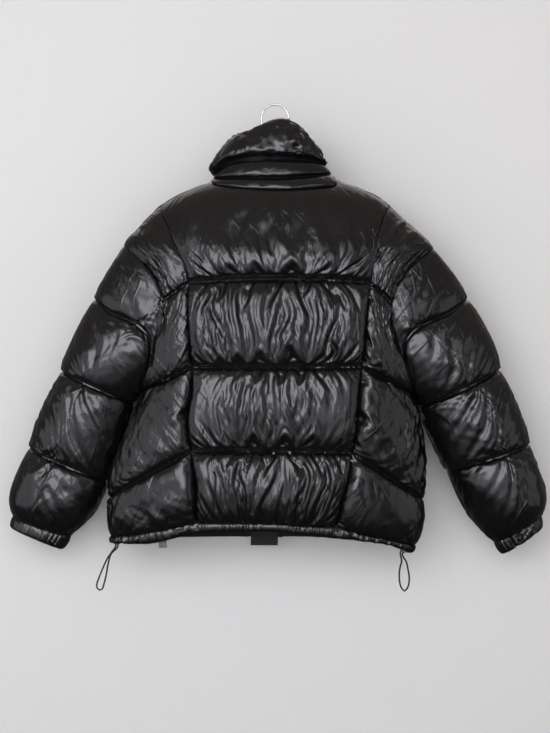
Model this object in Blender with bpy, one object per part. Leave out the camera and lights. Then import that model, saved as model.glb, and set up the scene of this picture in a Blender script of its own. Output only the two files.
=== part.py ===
"""A quilted puffer jacket hung on a plain hanger by its open hook.

Metres, +Z up.  Somebody facing the jacket's back looks along +Y, with +X to their right, so -X is the
wearer's left.  The origin is the inside top of the hanger's hook, where everything hangs.

Angles round the body are in degrees: 0 at the middle of the back, -90 and 90 at the left and right
sides, -180 and 180 at the zip.  Turns round an armhole, a sleeve or a cuff are in degrees too: 0 on the
shoulder line, 90 at the back, 180 under the arm and -90 at the front.

Every cloth piece is a wall.  Its inside is plain.  Its outside is pushed out between the quilting lines,
and comes back to the seam level along each line and each seam.
"""

import math

import bmesh
import bpy
import numpy as np
from mathutils import Matrix

LEFT, RIGHT = -1, 1


def table(columns, *rows):
    """Turn rows of numbers into one array for each named column."""
    return dict(zip(columns.split(), np.array(rows, float).T))


# ---------------------------------------------------------------------------------- driving sizes

WALL = 0.003                 # cloth, thin wadding and lining at a seam
SEAM_GAP = 0.0003            # air between two pieces along a seam
SIDE_LOFT = 0.0040           # how far a baffle swells at the sides
FACE_LOFT = 0.017            # how far a baffle swells on the back and front
ARM_LOFT = 0.013             # the same on a sleeve
EDGE_ROUND = 0.024           # width over which a baffle rounds down to a vertical seam

# Seam-level sections of the body, from the neck to the hem.
TORSO = table("height left right back front blunt",
              (-0.121, -0.100, 0.096, 0.034, 0.034, 1.00),
              (-0.132, -0.110, 0.112, 0.040, 0.040, 1.00),
              (-0.144, -0.138, 0.143, 0.047, 0.046, 1.00),
              (-0.161, -0.176, 0.180, 0.055, 0.053, 1.00),
              (-0.178, -0.200, 0.200, 0.061, 0.058, 0.97),
              (-0.195, -0.218, 0.218, 0.065, 0.062, 0.93),
              (-0.212, -0.232, 0.237, 0.068, 0.065, 0.90),
              (-0.232, -0.2520, 0.2590, 0.070, 0.068, 0.86),
              (-0.246, -0.2570, 0.2680, 0.072, 0.070, 0.84),
              (-0.280, -0.2500, 0.2560, 0.074, 0.072, 0.80),
              (-0.382, -0.238, 0.240, 0.075, 0.074, 0.80),
              (-0.485, -0.227, 0.235, 0.075, 0.074, 0.80),
              (-0.535, -0.242, 0.243, 0.074, 0.074, 0.80),
              (-0.586, -0.262, 0.248, 0.073, 0.073, 0.80),
              (-0.637, -0.278, 0.251, 0.071, 0.071, 0.80),
              (-0.696, -0.281, 0.249, 0.066, 0.067, 0.80),
              (-0.730, -0.277, 0.243, 0.062, 0.063, 0.80),
              (-0.745, -0.276, 0.236, 0.061, 0.062, 0.80),
              (-0.762, -0.274, 0.225, 0.060, 0.060, 0.80))

# The neck seam dips at the back and more at the front.
NECK = table("angle height",
             (-180, -0.178), (-170, -0.177), (-153, -0.163), (-135, -0.148), (-90, -0.1297),
             (-45, -0.1409), (0, -0.1500), (40, -0.1433), (90, -0.1245), (135, -0.146), (153, -0.162),
             (170, -0.177), (180, -0.178))

# Armholes: an egg laid on the body's side.  swing is how far it reaches round the back, in degrees.
ARMHOLES = {LEFT: dict(top=-0.240, bottom=-0.485, swing=39.0),
            RIGHT: dict(top=-0.2450, bottom=-0.4887, swing=36.5)}
SHOULDER_POINT = -0.1725     # where a princess seam leaves the shoulder seam
TURN_AT_LINE_1 = 76.0        # where the body's first quilting line meets the armhole

# Princess seams of the back, from the shoulder seam to the hem channel.
PRINCESS = {LEFT: table("height across",
                        (-0.2082, -0.1793), (-0.2470, -0.1613), (-0.2877, -0.1457), (-0.3042, -0.1439),
                        (-0.3846, -0.1387), (-0.4429, -0.1370), (-0.5022, -0.1387), (-0.5829, -0.1387),
                        (-0.6409, -0.1296), (-0.7009, -0.1287)),
            RIGHT: table("height across",
                         (-0.2032, 0.1781), (-0.2461, 0.1687), (-0.3039, 0.1588), (-0.3745, 0.1482),
                         (-0.4445, 0.1425), (-0.5219, 0.1350), (-0.5862, 0.1275), (-0.6244, 0.1185),
                         (-0.6640, 0.1069), (-0.7088, 0.1010))}

# Heights of the quilting lines, the last one being the top seam of the hem channel.  side_left and
# side_right are where the line meets the side seam, or the armhole for the first one.
LINES = table("left middle right side_left side_right front",
              (-0.3042, -0.2983, -0.3042, -0.3329, -0.3413, -0.290),
              (-0.4445, -0.4445, -0.4437, -0.4850, -0.4887, -0.430),
              (-0.5837, -0.5829, -0.5862, -0.6655, -0.6689, -0.575),
              (-0.7009, -0.7008, -0.7088, -0.7301, -0.7437, -0.7240))

HEM_EDGE = table("angle height",
                 (-180, -0.7400), (-168, -0.7400), (-90, -0.7412), (-50, -0.7390), (-22, -0.7185),
                 (0, -0.7158), (14, -0.7215), (32, -0.7310), (53, -0.7415), (66, -0.7500),
                 (76, -0.7560), (90, -0.7573), (125, -0.7500),
                 (168, -0.7400), (180, -0.7400))

# Seam-level sections across each sleeve: outer and inner edge, half its depth, and how far its middle
# stands in front of the shoulder line.  The last row but one is the cuff seam, the last the cuff's end.
SLEEVES = {LEFT: table("outer_x outer_z inner_x inner_z depth forward",
                       (-0.3640, -0.4514, -0.2405, -0.5075, 0.056, 0.024),
                       (-0.4205, -0.5823, -0.2865, -0.6392, 0.053, 0.030),
                       (-0.4505, -0.6707, -0.3185, -0.6950, 0.045, 0.028),
                       (-0.4470, -0.6979, -0.3511, -0.7310, 0.027, 0.026),
                       (-0.4514, -0.7191, -0.3664, -0.7548, 0.027, 0.026)),
           RIGHT: table("outer_x outer_z inner_x inner_z depth forward",
                        (0.3830, -0.4488, 0.2480, -0.5143, 0.056, 0.022),
                        (0.4345, -0.5763, 0.2970, -0.6214, 0.053, 0.028),
                        (0.4590, -0.6707, 0.3383, -0.6962, 0.045, 0.028),
                        (0.4530, -0.6953, 0.3766, -0.7421, 0.027, 0.026),
                        (0.4565, -0.7191, 0.3910, -0.7633, 0.027, 0.026))}
SLEEVE_STATIONS = (0.0, 1.0, 2.0, 2.65, 3.0)  # armhole, three sections, cuff seam: whole numbers are lines
SLEEVE_BLUNT = 0.88          # below 1 the sleeve's section is squarer than an ellipse
SLEEVE_CROWN = {LEFT: 0.004, RIGHT: 0.009}  # how far the top of a sleeve arches out below the shoulder
CAP_LINE_OUTER = 0.41        # the sleeve's first line, as a share of the way to its second line
CAP_LINE_INNER = 0.16        # the same under the arm, where it runs close beside the armhole seam

# The collar's rings: top of the low roll, the tuck above the band, and the slumped top edge.
COLLAR = table("left right back front",
               (-0.1040, 0.0935, 0.046, 0.054),
               (-0.0975, 0.0820, 0.041, 0.051),
               (-0.0660, 0.0740, 0.033, 0.048))
COLLAR_HEIGHTS = table("angle roll tuck top",
                       (-180, -0.166, -0.138, -0.104), (-168, -0.166, -0.138, -0.104),
                       (-135, -0.152, -0.126, -0.086),
                       (-90, -0.1245, -0.1200, -0.0610), (-68, -0.1258, -0.1115, -0.0560),
                       (-45, -0.1275, -0.1005, -0.0520),
                       (-8, -0.1289, -0.0960, -0.0340), (6, -0.1289, -0.0965, -0.0300),
                       (24, -0.1270, -0.0965, -0.0390), (45, -0.1240, -0.0975, -0.0580),
                       (90, -0.1187, -0.1050, -0.0900), (135, -0.152, -0.124, -0.100),
                       (168, -0.166, -0.138, -0.104), (180, -0.166, -0.138, -0.104))
COLLAR_LOFTS = (0.009, 0.009, 0.015)

HEM_LOFT = 0.0045
HEM_GATHER = 0.0012
CUFF_LOFT = 0.0030

ZIP_LINE = table("height across",  # the middle of the zip, a straight line
                 (-0.104, 0.0), (-0.760, -0.0189))
ZIP_HALF = 0.012             # from the middle of the zip to the edge of a front
TAPE_SUNK = 0.0008
TAPE_THICK = 0.0014
ZIP_FROM = 165.0             # beyond this angle the collar's points keep to the zip's line
GUARD_HALF = 0.0238          # the flat strip behind the zip, whose end shows below the hem
GUARD_SUNK = 0.0046
GUARD_THICK = 0.0018
GUARD_END = -0.7554

SLIDER_HEIGHT = -0.117
SLIDER = dict(long=0.012, wide=0.008, thick=0.0032, hinge=0.0062, ear=0.0014, gap=0.0036, pin=0.0014)
PULL = dict(long=0.030, wide=0.0062, thick=0.0016, knuckle=0.0021, bore=0.0011)

HOOK_RADIUS = 0.0233         # middle of the wire
HOOK_WIRE = 0.0016
HOOK_START = -2.0            # degrees from +x, where the round tip is
HOOK_END = 222.0             # where the shank starts
HANGER_TOP = -0.1020
HANGER_CLEAR = 0.0087        # from the shoulder's seam level down to the hanger's ridge
HANGER_TIP_BELOW = -0.174    # where on the shoulder seam the hanger ends
HANGER_TIP = 0.0070          # half its height at a tip
HANGER_MIDDLE = 0.0100       # half its height in the middle
HANGER_FLAT = 0.65           # its depth over its height

CORD_ROUND = 0.0029
EYELET_WIRE = 0.0009
CORD_APART = 0.0056          # between the two strands where they leave the hem
EYELET = dict(long_half=0.0064, short_half=0.0030)
EYELET_DROP = {LEFT: 0.0004, RIGHT: 0.0010}  # air above the eyelet's wire
CORD_EXITS = {LEFT: -75.0, RIGHT: 70.5}
# Each free cord, from one end in the eyelet round to the other.
CORDS = {LEFT: table("across deep height",
                     (-0.2750, -0.0155, -0.7560), (-0.2834, -0.0160, -0.7684),
                     (-0.2907, -0.0170, -0.7846), (-0.2982, -0.0180, -0.8033), (-0.3009, -0.0185, -0.8126),
                     (-0.2998, -0.0185, -0.8179), (-0.2954, -0.0185, -0.8209), (-0.2908, -0.0190, -0.8184),
                     (-0.2891, -0.0195, -0.8126), (-0.2852, -0.0200, -0.7982), (-0.2815, -0.0205, -0.7778),
                     (-0.2765, -0.0212, -0.7600)),
         RIGHT: table("across deep height",
                      (0.2130, -0.0262, -0.7700), (0.2098, -0.0262, -0.7836),
                      (0.2090, -0.0257, -0.7955), (0.2099, -0.0252, -0.8072), (0.2134, -0.0247, -0.8172),
                      (0.2181, -0.0240, -0.8216), (0.2226, -0.0233, -0.8172), (0.2257, -0.0228, -0.8072),
                      (0.2260, -0.0223, -0.7971), (0.2243, -0.0218, -0.7869), (0.2215, -0.0215, -0.7735))}

LABEL = dict(across=-0.1905, wide=0.0140, low=-0.7472, high=-0.7200, behind=0.0022, thick=0.0009, lean=-0.10)

# Grid steps between seams and lines.  The inside of a wall keeps every second row, and every second
# or fourth column.
ROWS = (6, 8, 6, 6)
ROW_EASE = 0.11              # how much closer rows stand beside a quilting line
COLUMNS_CENTRE = 40
COLUMNS_SIDE = 8
COLUMNS_SHOULDER = 4
COLUMNS_NECK_FRONT = 6
ROWS_HEM = 3
ROWS_CUFF = 3
ROWS_SLEEVE = (6, 6, 6, 6)
ROWS_COLLAR = (2, 4, 4)
FOLD_COLUMNS = 4             # grid columns in one gathered fold of the back


# ---------------------------------------------------------------------------------- curve helpers

def unit(vectors):
    return vectors / np.maximum(np.linalg.norm(vectors, axis=-1, keepdims=True), 1e-12)


def track(stations, values):
    """A smooth curve through the values that never overshoots them."""
    order = np.argsort(stations)
    at = np.asarray(stations, float)[order]
    value = np.asarray(values, float)[order]
    step = np.diff(at)
    slope = np.diff(value) / step
    product = slope[:-1] * slope[1:]
    total = np.where(product > 0, slope[:-1] + slope[1:], 1.0)
    tangent = np.concatenate([slope[:1], np.where(product > 0, 2 * product / total, 0.0), slope[-1:]])

    def curve(where):
        where = np.clip(where, at[0], at[-1])
        k = np.clip(np.searchsorted(at, where, side="right") - 1, 0, len(step) - 1)
        u = (where - at[k]) / step[k]
        start = (2 * u - 3) * u * u + 1
        lead_out = ((u - 2) * u + 1) * u * step[k]
        lead_in = (u - 1) * u * u * step[k]
        return start * value[k] + (1 - start) * value[k + 1] + lead_out * tangent[k] + lead_in * tangent[k + 1]

    return curve


def spaced(start, end, steps):
    return np.linspace(start, end, steps + 1)


def eased(start, end, steps):
    """Like spaced, but closer together at both ends, where a baffle comes down to its stitching."""
    share = spaced(0, 1, steps)
    return start + (end - start) * (share - ROW_EASE * np.sin(2 * math.pi * share))


def join_rows(grids):
    """Stack grids that share their meeting row."""
    return np.concatenate([grids[0]] + [grid[1:] for grid in grids[1:]], axis=0)


def patch(top, bottom, left, right):
    """Fill four edges of (angle, height) points with a smooth grid."""
    across = spaced(0, 1, len(top) - 1)[None, :, None]
    down = eased(0, 1, len(left) - 1)[:, None, None]
    between_rows = (1 - down) * top[None] + down * bottom[None]
    between_columns = (1 - across) * left[:, None] + across * right[:, None]
    corners = ((1 - down) * ((1 - across) * top[0] + across * top[-1])
               + down * ((1 - across) * bottom[0] + across * bottom[-1]))
    return between_rows + between_columns - corners


# ---------------------------------------------------------------------------------- the body's surface

torso = {name: track(TORSO["height"], TORSO[name]) for name in ("left", "right", "back", "front", "blunt")}
neck_height = track(NECK["angle"], NECK["height"])
hem_height = track(HEM_EDGE["angle"], HEM_EDGE["height"])


def ring_point(angle, height, left, right, back, front, blunt):
    turn = np.radians(angle)
    depth = np.where(np.cos(turn) > 0, back, front)
    across = (left + right) / 2 + (right - left) / 2 * np.sin(turn)
    along = -depth * np.sign(np.cos(turn)) * np.abs(np.cos(turn)) ** blunt
    return np.stack(np.broadcast_arrays(across, along, height), axis=-1)


def torso_point(angle, height):
    return ring_point(angle, height, *(torso[name](height) for name in ("left", "right", "back", "front", "blunt")))


def torso_normal(angle, height):
    across = torso_point(angle + 2, height) - torso_point(angle - 2, height)
    down = torso_point(angle, height - 0.004) - torso_point(angle, height + 0.004)
    return unit(np.cross(down, across))


def angle_at(across, height):
    """The angle round the body of the point of the back at this x."""
    middle = (torso["left"](height) + torso["right"](height)) / 2
    half = (torso["right"](height) - torso["left"](height)) / 2
    return np.degrees(np.arcsin(np.clip((across - middle) / half, -1, 1)))


def torso_grid(cells):
    """Points and outward normals for a grid of (angle, height)."""
    return torso_point(cells[..., 0], cells[..., 1]), torso_normal(cells[..., 0], cells[..., 1])


def eased_path(cells, steps):
    """Rows of points along a path of (angle, height) points, measured on the cloth."""
    length = np.concatenate([[0], np.cumsum(np.linalg.norm(np.diff(torso_point(*cells.T), axis=0), axis=1))])
    where = eased(0, length[-1], steps)
    return np.stack([np.interp(where, length, cells[:, k]) for k in (0, 1)], axis=-1)


def princess(side, start, end, steps):
    """A stretch of a back princess seam between two heights."""
    seam = PRINCESS[side]
    angles = np.concatenate([[side * 90.0], angle_at(seam["across"], seam["height"])])
    heights = np.concatenate([[SHOULDER_POINT], seam["height"]])
    # The angle changes fastest next to the shoulder, so the curve runs in the root of the drop.
    drop = np.sqrt(SHOULDER_POINT - heights)
    curve = track(drop, angles)
    drops = np.sqrt(SHOULDER_POINT - np.linspace(start, end, 80).clip(max=SHOULDER_POINT))
    return eased_path(np.stack([curve(drops), SHOULDER_POINT - drops ** 2], axis=-1), steps)


def armhole(side, turns):
    """The armhole seam, as (angle, height), at these turns."""
    size = ARMHOLES[side]
    turn = np.radians(turns)
    lean = np.cos(turn)
    swing = size["swing"] * np.sin(turn) * (1 + 0.24 * lean - 0.12 * lean ** 2)
    height = (size["top"] + size["bottom"]) / 2 + (size["top"] - size["bottom"]) / 2 * lean
    return np.stack([side * (90 - swing), height], axis=-1)


def armhole_turns():
    """The turns at which the body's rows and the sleeve's columns meet, from shoulder to underarm."""
    return np.concatenate([eased(0, TURN_AT_LINE_1, ROWS[0]), eased(TURN_AT_LINE_1, 180, ROWS[1])[1:]])


def armhole_normal(side, turns):
    """Outward direction of the armhole seam, shared by the body and the sleeve."""
    turn = np.radians(turns)[..., None]
    up = np.array([side * 0.75, 0, 0.66]) * np.maximum(np.cos(turn), 0) ** 2
    down = np.array([side * 0.35, 0, -0.94]) * np.maximum(-np.cos(turn), 0) ** 6
    return unit(up + down + np.array([0, -1.0, 0]) * np.sin(turn))


def neck_normal(angle):
    """Outward direction of the neck seam, shared by the body and the collar."""
    turn = np.radians(angle)
    flat = np.stack([np.sin(turn) * 0.75, -np.cos(turn), np.full_like(turn, 0.55)], axis=-1)
    return unit(flat)


def line_between(start, end, steps, middle=None):
    """A quilting line between two (angle, height) points, straight as seen from behind or in front."""
    angles = np.linspace(start[0], end[0], steps + 1)
    share = np.sin(np.radians(angles))
    share = (share - share[0]) / (share[-1] - share[0])
    heights = start[1] + (end[1] - start[1]) * share
    if middle is not None:
        heights = heights + (middle - (start[1] + end[1]) / 2) * 4 * share * (1 - share)
    return np.stack([angles, heights], axis=-1)


def side_seam(side, start, end, steps):
    return np.stack([np.full(steps + 1, side * 90.0), spaced(start, end, steps)], axis=-1)


# ---------------------------------------------------------------------------------- solids

collection = bpy.data.collections.new("puffer_jacket")
materials = {}


def material(name, colour, roughness, metallic=0.0):
    if name not in materials:
        made = bpy.data.materials.new(name)
        made.use_nodes = True
        shader = made.node_tree.nodes["Principled BSDF"]
        shader.inputs["Base Color"].default_value = (*colour, 1.0)
        shader.inputs["Roughness"].default_value = roughness
        shader.inputs["Metallic"].default_value = metallic
        materials[name] = made
    return materials[name]


def shell_cloth():
    return material("glossy_black_nylon", (0.012, 0.012, 0.014), 0.28)


def matte_cloth():
    return material("matte_black_tape", (0.016, 0.015, 0.017), 0.75)


def chrome():
    return material("chromed_wire", (0.72, 0.72, 0.74), 0.15, 1.0)


def metal():
    return material("dark_metal", (0.10, 0.10, 0.11), 0.35, 1.0)


def hanger_plastic():
    return material("clear_grey_plastic", (0.55, 0.56, 0.58), 0.3)


def label_cloth():
    return material("woven_label", (0.10, 0.10, 0.11), 0.8)


def add_object(name, mesh, look):
    piece = bpy.data.objects.new(name, mesh)
    mesh.materials.append(look)
    collection.objects.link(piece)
    return piece


def add_solid(name, points, faces, look):
    """Make one closed solid, with its faces turned out."""
    mesh = bpy.data.meshes.new(name)
    mesh.from_pydata([tuple(point) for point in points], [], [tuple(face) for face in faces])
    work = bmesh.new()
    work.from_mesh(mesh)
    bmesh.ops.recalc_face_normals(work, faces=work.faces)
    if work.calc_volume(signed=True) < 0:
        bmesh.ops.reverse_faces(work, faces=work.faces)
    work.to_mesh(mesh)
    work.free()
    mesh.shade_smooth()
    mesh.set_sharp_from_angle(angle=math.radians(50))
    return add_object(name, mesh, look)


def seam_shift(points, normals, closed):
    """How far each edge point draws back from the seam, so that two pieces keep SEAM_GAP between them."""
    shift = np.zeros_like(points)
    last_row, last_column = points.shape[0] - 1, points.shape[1] - 1
    if closed:
        loops = [[(0, c) for c in range(last_column + 1)], [(last_row, c) for c in range(last_column + 1)]]
    else:
        loops = [[(0, c) for c in range(last_column)] + [(r, last_column) for r in range(last_row)]
                 + [(last_row, c) for c in range(last_column, 0, -1)] + [(r, 0) for r in range(last_row, 0, -1)]]
    for loop in loops:
        rows, columns = np.array(loop).T
        edge = points[rows, columns]
        normal = normals[rows, columns]
        before = unit(np.cross(edge - np.roll(edge, 1, axis=0), normal))
        after = unit(np.cross(np.roll(edge, -1, axis=0) - edge, normal))
        inner = points[np.clip(rows, 1, last_row - 1) if last_row > 1 else last_row - rows,
                       columns if closed else np.clip(columns, 1, max(last_column - 1, 1))]
        sign = np.sign(np.sum((inner - edge) * (before + after)))
        mitre = 1 + np.sum(before * after, axis=-1, keepdims=True)
        move = (before + after) / np.maximum(mitre, 0.25)
        shift[rows, columns] = sign * move * SEAM_GAP / 2
    return shift


def rim(outer, inner, kept):
    """Triangles between a fine edge of the outside and a coarser edge of the inside."""
    faces = []
    for k in range(len(kept) - 1):
        first, last = kept[k], kept[k + 1]
        halfway = (first + last) // 2
        for c in range(first, last):
            faces.append((outer[c], outer[c + 1], inner[k] if c < halfway else inner[k + 1]))
        faces.append((inner[k], outer[halfway], inner[k + 1]))
    return faces


def add_wall(name, points, normals, height, rows, columns, look, closed=False, depth=WALL):
    """A cloth wall: outside at height above the seam level, plain inside at depth below it.

    rows and columns are the grid lines that the inside keeps.  A closed wall is a ring, whose last
    column meets its first."""
    shift = seam_shift(points, normals, closed)
    outside = points + shift + normals * np.asarray(height)[..., None]
    inside = (points + shift - normals * depth)[np.ix_(rows, columns)]
    outer = np.arange(outside[..., 0].size).reshape(outside.shape[:2])
    inner = np.arange(inside[..., 0].size).reshape(inside.shape[:2]) + outer.size
    kept_columns = list(columns)
    if closed:
        kept_columns = kept_columns + [outer.shape[1]]
        outer = np.concatenate([outer, outer[:, :1]], axis=1)
        inner = np.concatenate([inner, inner[:, :1]], axis=1)
    faces = []
    for grid, flip in ((outer, False), (inner, True)):
        for r in range(grid.shape[0] - 1):
            for c in range(grid.shape[1] - 1):
                face = (grid[r, c], grid[r + 1, c], grid[r + 1, c + 1], grid[r, c + 1])
                faces.append(face[::-1] if flip else face)
    faces += rim(outer[0], inner[0], kept_columns)
    faces += rim(outer[-1], inner[-1], kept_columns)
    if not closed:
        faces += rim(outer[:, 0], inner[:, 0], rows)
        faces += rim(outer[:, -1], inner[:, -1], rows)
    return add_solid(name, np.concatenate([outside.reshape(-1, 3), inside.reshape(-1, 3)]), faces, look)


def every(step, count, start=0):
    return list(range(start, start + count + 1, step))


def every_second_to_zip(count):
    """Every second column, and the last one but one, so that the wall lies close over the zip guard."""
    return every(2, count - 2) + [count - 1, count]


def quarter_round(distance, width):
    """0 at a seam, rising like a quarter circle to 1 at width."""
    return np.sqrt(1 - (1 - np.clip(distance / width, 0, 1)) ** 2)


def loft(points, marks, top, edge=EDGE_ROUND, sag=1.2, full_width=0.05):
    """Height of a quilted wall above its seam level.

    marks are the rows that carry a line of stitching.  top is the height in the middle of a baffle as
    tall as full_width or taller."""
    steps = np.linalg.norm(np.diff(points, axis=0), axis=-1)
    height = np.zeros(points.shape[:2])
    for first, last in zip(marks[:-1], marks[1:]):
        run = np.concatenate([np.zeros((1, points.shape[1])), np.cumsum(steps[first:last], axis=0)])
        share = (run / np.maximum(run[-1], 1e-9)) ** sag
        room = np.minimum(1, run[-1] / full_width)
        height[first:last + 1] = np.sqrt(np.clip(4 * share * (1 - share), 0, 1)) * room
    across = np.linalg.norm(np.diff(points, axis=1), axis=-1)
    from_left = np.concatenate([np.zeros((points.shape[0], 1)), np.cumsum(across, axis=1)], axis=1)
    from_right = from_left[:, -1:] - from_left
    return height * quarter_round(np.minimum(from_left, from_right), edge) * top


def body_loft(cells):
    """Largest swell of the body's baffles: full on the faces, small at the sides and on the shoulders."""
    facing = np.abs(np.cos(np.radians(cells[..., 0])))
    drop = np.clip((-0.160 - cells[..., 1]) / 0.105, 0, 1)
    bearing = 0.30 + 0.70 * drop * drop * (3 - 2 * drop)
    return (SIDE_LOFT + (FACE_LOFT - SIDE_LOFT) * facing) * bearing


def marks_from(counts, start=0):
    return [start + sum(counts[:k]) for k in range(len(counts) + 1)]


# ---------------------------------------------------------------------------------- the body's panels

def back_neck():
    """The neck seam from one shoulder seam to the other, across the back."""
    angles = spaced(-90.0, 90.0, COLUMNS_CENTRE - 2 * COLUMNS_SHOULDER)
    return np.stack([angles, neck_height(angles)], axis=-1)


def shoulder(side):
    """The shoulder seam between the princess seam and the neck."""
    return side_seam(side, SHOULDER_POINT, neck_height(side * 90.0), COLUMNS_SHOULDER)


def princess_point(side, line):
    name = "left" if side == LEFT else "right"
    return princess(side, SHOULDER_POINT, LINES[name][line], 4)[-1]


def side_point(side, line):
    """Where a quilting line meets the armhole or the side seam."""
    if line == 0:
        return armhole(side, TURN_AT_LINE_1)
    return np.array([side * 90.0, LINES["side_left" if side == LEFT else "side_right"][line]])


def centre_line(line):
    return line_between(princess_point(LEFT, line), princess_point(RIGHT, line), COLUMNS_CENTRE,
                        LINES["middle"][line])


def panel_side_line(side, line):
    """A quilting line of a back side panel, from its outer end to the princess seam."""
    return line_between(side_point(side, line), princess_point(side, line), COLUMNS_SIDE)


def centre_cells():
    grids = []
    for line in range(len(ROWS)):
        edges = []
        for side in (LEFT, RIGHT):
            name = "left" if side == LEFT else "right"
            start = SHOULDER_POINT if line == 0 else LINES[name][line - 1]
            edges.append(princess(side, start, LINES[name][line], ROWS[line]))
        top = centre_line(line - 1)
        if line == 0:
            top = np.concatenate([shoulder(LEFT), back_neck()[1:], shoulder(RIGHT)[::-1][1:]])
        grids.append(patch(top, centre_line(line), edges[0], edges[1]))
    return join_rows(grids)


def outer_edge(side, line, facing):
    """A panel's outer edge beside one baffle: the armhole, then the side seam.  facing is 1 on the back."""
    if line < 2:
        turns = armhole_turns()
        first, last = (0, ROWS[0]) if line == 0 else (ROWS[0], ROWS[0] + ROWS[1])
        return armhole(side, facing * turns[first:last + 1])
    heights = eased(side_point(side, line - 1)[1], side_point(side, line)[1], ROWS[line])
    return np.stack([np.full(len(heights), side * 90.0), heights], axis=-1)


def side_cells(side):
    outer_shoulder = side_seam(side, ARMHOLES[side]["top"], SHOULDER_POINT, COLUMNS_SIDE)
    name = "left" if side == LEFT else "right"
    grids = []
    for line in range(len(ROWS)):
        start = SHOULDER_POINT if line == 0 else LINES[name][line - 1]
        seam = princess(side, start, LINES[name][line], ROWS[line])
        top = outer_shoulder if line == 0 else panel_side_line(side, line - 1)
        grids.append(patch(top, panel_side_line(side, line), outer_edge(side, line, 1), seam))
    return join_rows(grids)


zip_across = track(ZIP_LINE["height"], ZIP_LINE["across"])


def zip_angle(offset, height):
    """The angle round the body of a point this far in x from the zip's middle."""
    return math.copysign(180, offset) - angle_at(zip_across(height) + offset, height)


def front_middle(side, height):
    """The front's edge beside the zip."""
    return np.array([zip_angle(side * ZIP_HALF, height), height])


def front_columns():
    return COLUMNS_SIDE + COLUMNS_SHOULDER + COLUMNS_NECK_FRONT


def front_neck(side):
    """The neck seam of one front, from the shoulder seam to the zip."""
    end = front_middle(side, neck_height(180.0))
    angles = spaced(side * 90.0, end[0], COLUMNS_NECK_FRONT)
    return np.stack([angles, neck_height(angles)], axis=-1)


def front_line(side, line):
    start = armhole(side, -TURN_AT_LINE_1) if line == 0 else side_point(side, line)
    return line_between(start, front_middle(side, LINES["front"][line]), front_columns())


def front_edge(side, start, end, steps):
    return np.array([front_middle(side, height) for height in eased(start, end, steps)])


def front_cells(side):
    outer_shoulder = side_seam(side, ARMHOLES[side]["top"], SHOULDER_POINT, COLUMNS_SIDE)
    top = np.concatenate([outer_shoulder, shoulder(side)[1:], front_neck(side)[1:]])
    grids = []
    start = top[-1][1]
    for line in range(len(ROWS)):
        end = LINES["front"][line]
        edge = front_edge(side, start, end, ROWS[line])
        grids.append(patch(top, front_line(side, line), outer_edge(side, line, -1), edge))
        top, start = front_line(side, line), end
    return join_rows(grids)


def gathers(columns, size, seed):
    """Uneven upright folds: a ridge and a trough in each group of FOLD_COLUMNS grid columns."""
    draw = np.random.default_rng(seed)
    wave = np.array([0.0, 1.0, 0.1, -0.9])[np.arange(columns + 1) % FOLD_COLUMNS]
    strength = draw.uniform(0.45, 1.0, columns // FOLD_COLUMNS + 1)
    return wave * np.repeat(strength, FOLD_COLUMNS)[:columns + 1] * size


def body_piece(cells, height, **more):
    points, normals = torso_grid(cells)
    return dict(points=points, normals=normals, height=height(points), **more)


def back_centre():
    cells = centre_cells()
    marks = marks_from(ROWS)
    piece = body_piece(cells, lambda points: loft(points, marks, body_loft(cells)),
                       rows=every(2, marks[-1]), columns=every(FOLD_COLUMNS, COLUMNS_CENTRE))
    neck = slice(COLUMNS_SHOULDER, COLUMNS_CENTRE - COLUMNS_SHOULDER + 1)
    piece["normals"][0, neck] = neck_normal(back_neck()[:, 0])
    height = piece["height"]
    for seed, (first, last) in enumerate(zip(marks[:-1], marks[1:])):
        full = np.sqrt(np.clip(height[first:last] / FACE_LOFT, 0, 1))
        if first == 0:
            full = full * np.linspace(0, 1, last - first)[:, None]
        height[first:last] += gathers(COLUMNS_CENTRE, 0.0030, seed) * full
    return piece


def back_side(side):
    cells = side_cells(side)
    marks = marks_from(ROWS)
    piece = body_piece(cells, lambda points: loft(points, marks, body_loft(cells)),
                       rows=every(2, marks[-1]), columns=every(2, COLUMNS_SIDE))
    turns = armhole_turns()
    piece["normals"][:len(turns), 0] = armhole_normal(side, turns)
    return piece


def zip_normal(normals):
    """Square to the zip, so that a front's edge and the tape beside it face each other."""
    return unit(normals * np.array([0, 1.0, 1.0]))


def front(side):
    cells = front_cells(side)
    marks = marks_from(ROWS)
    piece = body_piece(cells, lambda points: loft(points, marks, body_loft(cells)),
                       rows=every(2, marks[-1]), columns=every_second_to_zip(front_columns()))
    turns = -armhole_turns()
    piece["normals"][:len(turns), 0] = armhole_normal(side, turns)
    neck = COLUMNS_SIDE + COLUMNS_SHOULDER
    piece["normals"][0, neck:] = neck_normal(cells[0, neck:, 0])
    piece["normals"][:, -1] = zip_normal(piece["normals"][:, -1])
    return piece


# ---------------------------------------------------------------------------------- hem channel

def hem_piece(top, columns, seed):
    """The drawcord channel below a row of (angle, height) points, finely gathered."""
    bottom = np.stack([top[:, 0], hem_height(top[:, 0])], axis=-1)
    share = np.linspace(0, 1, ROWS_HEM + 1)[:, None, None]
    cells = top[None] * (1 - share) + bottom[None] * share
    if abs(top[-1, 0]) > ZIP_FROM:
        cells[:, -1, 0] = zip_angle(math.copysign(ZIP_HALF, top[-1, 0]), cells[:, -1, 1])
    points, normals = torso_grid(cells)
    draw = np.random.default_rng(seed)
    gather = np.where(np.arange(len(top)) % 2 == 0, -1.0, 1.0) * draw.uniform(0.3, 1.0, len(top))
    height = loft(points, [0, ROWS_HEM], HEM_LOFT, edge=0.006, sag=1.0, full_width=0.015)
    height = np.maximum(height + gather * HEM_GATHER * (height > HEM_GATHER), 0)
    return dict(points=points, normals=normals, height=height, rows=[0, ROWS_HEM], columns=columns)


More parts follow.
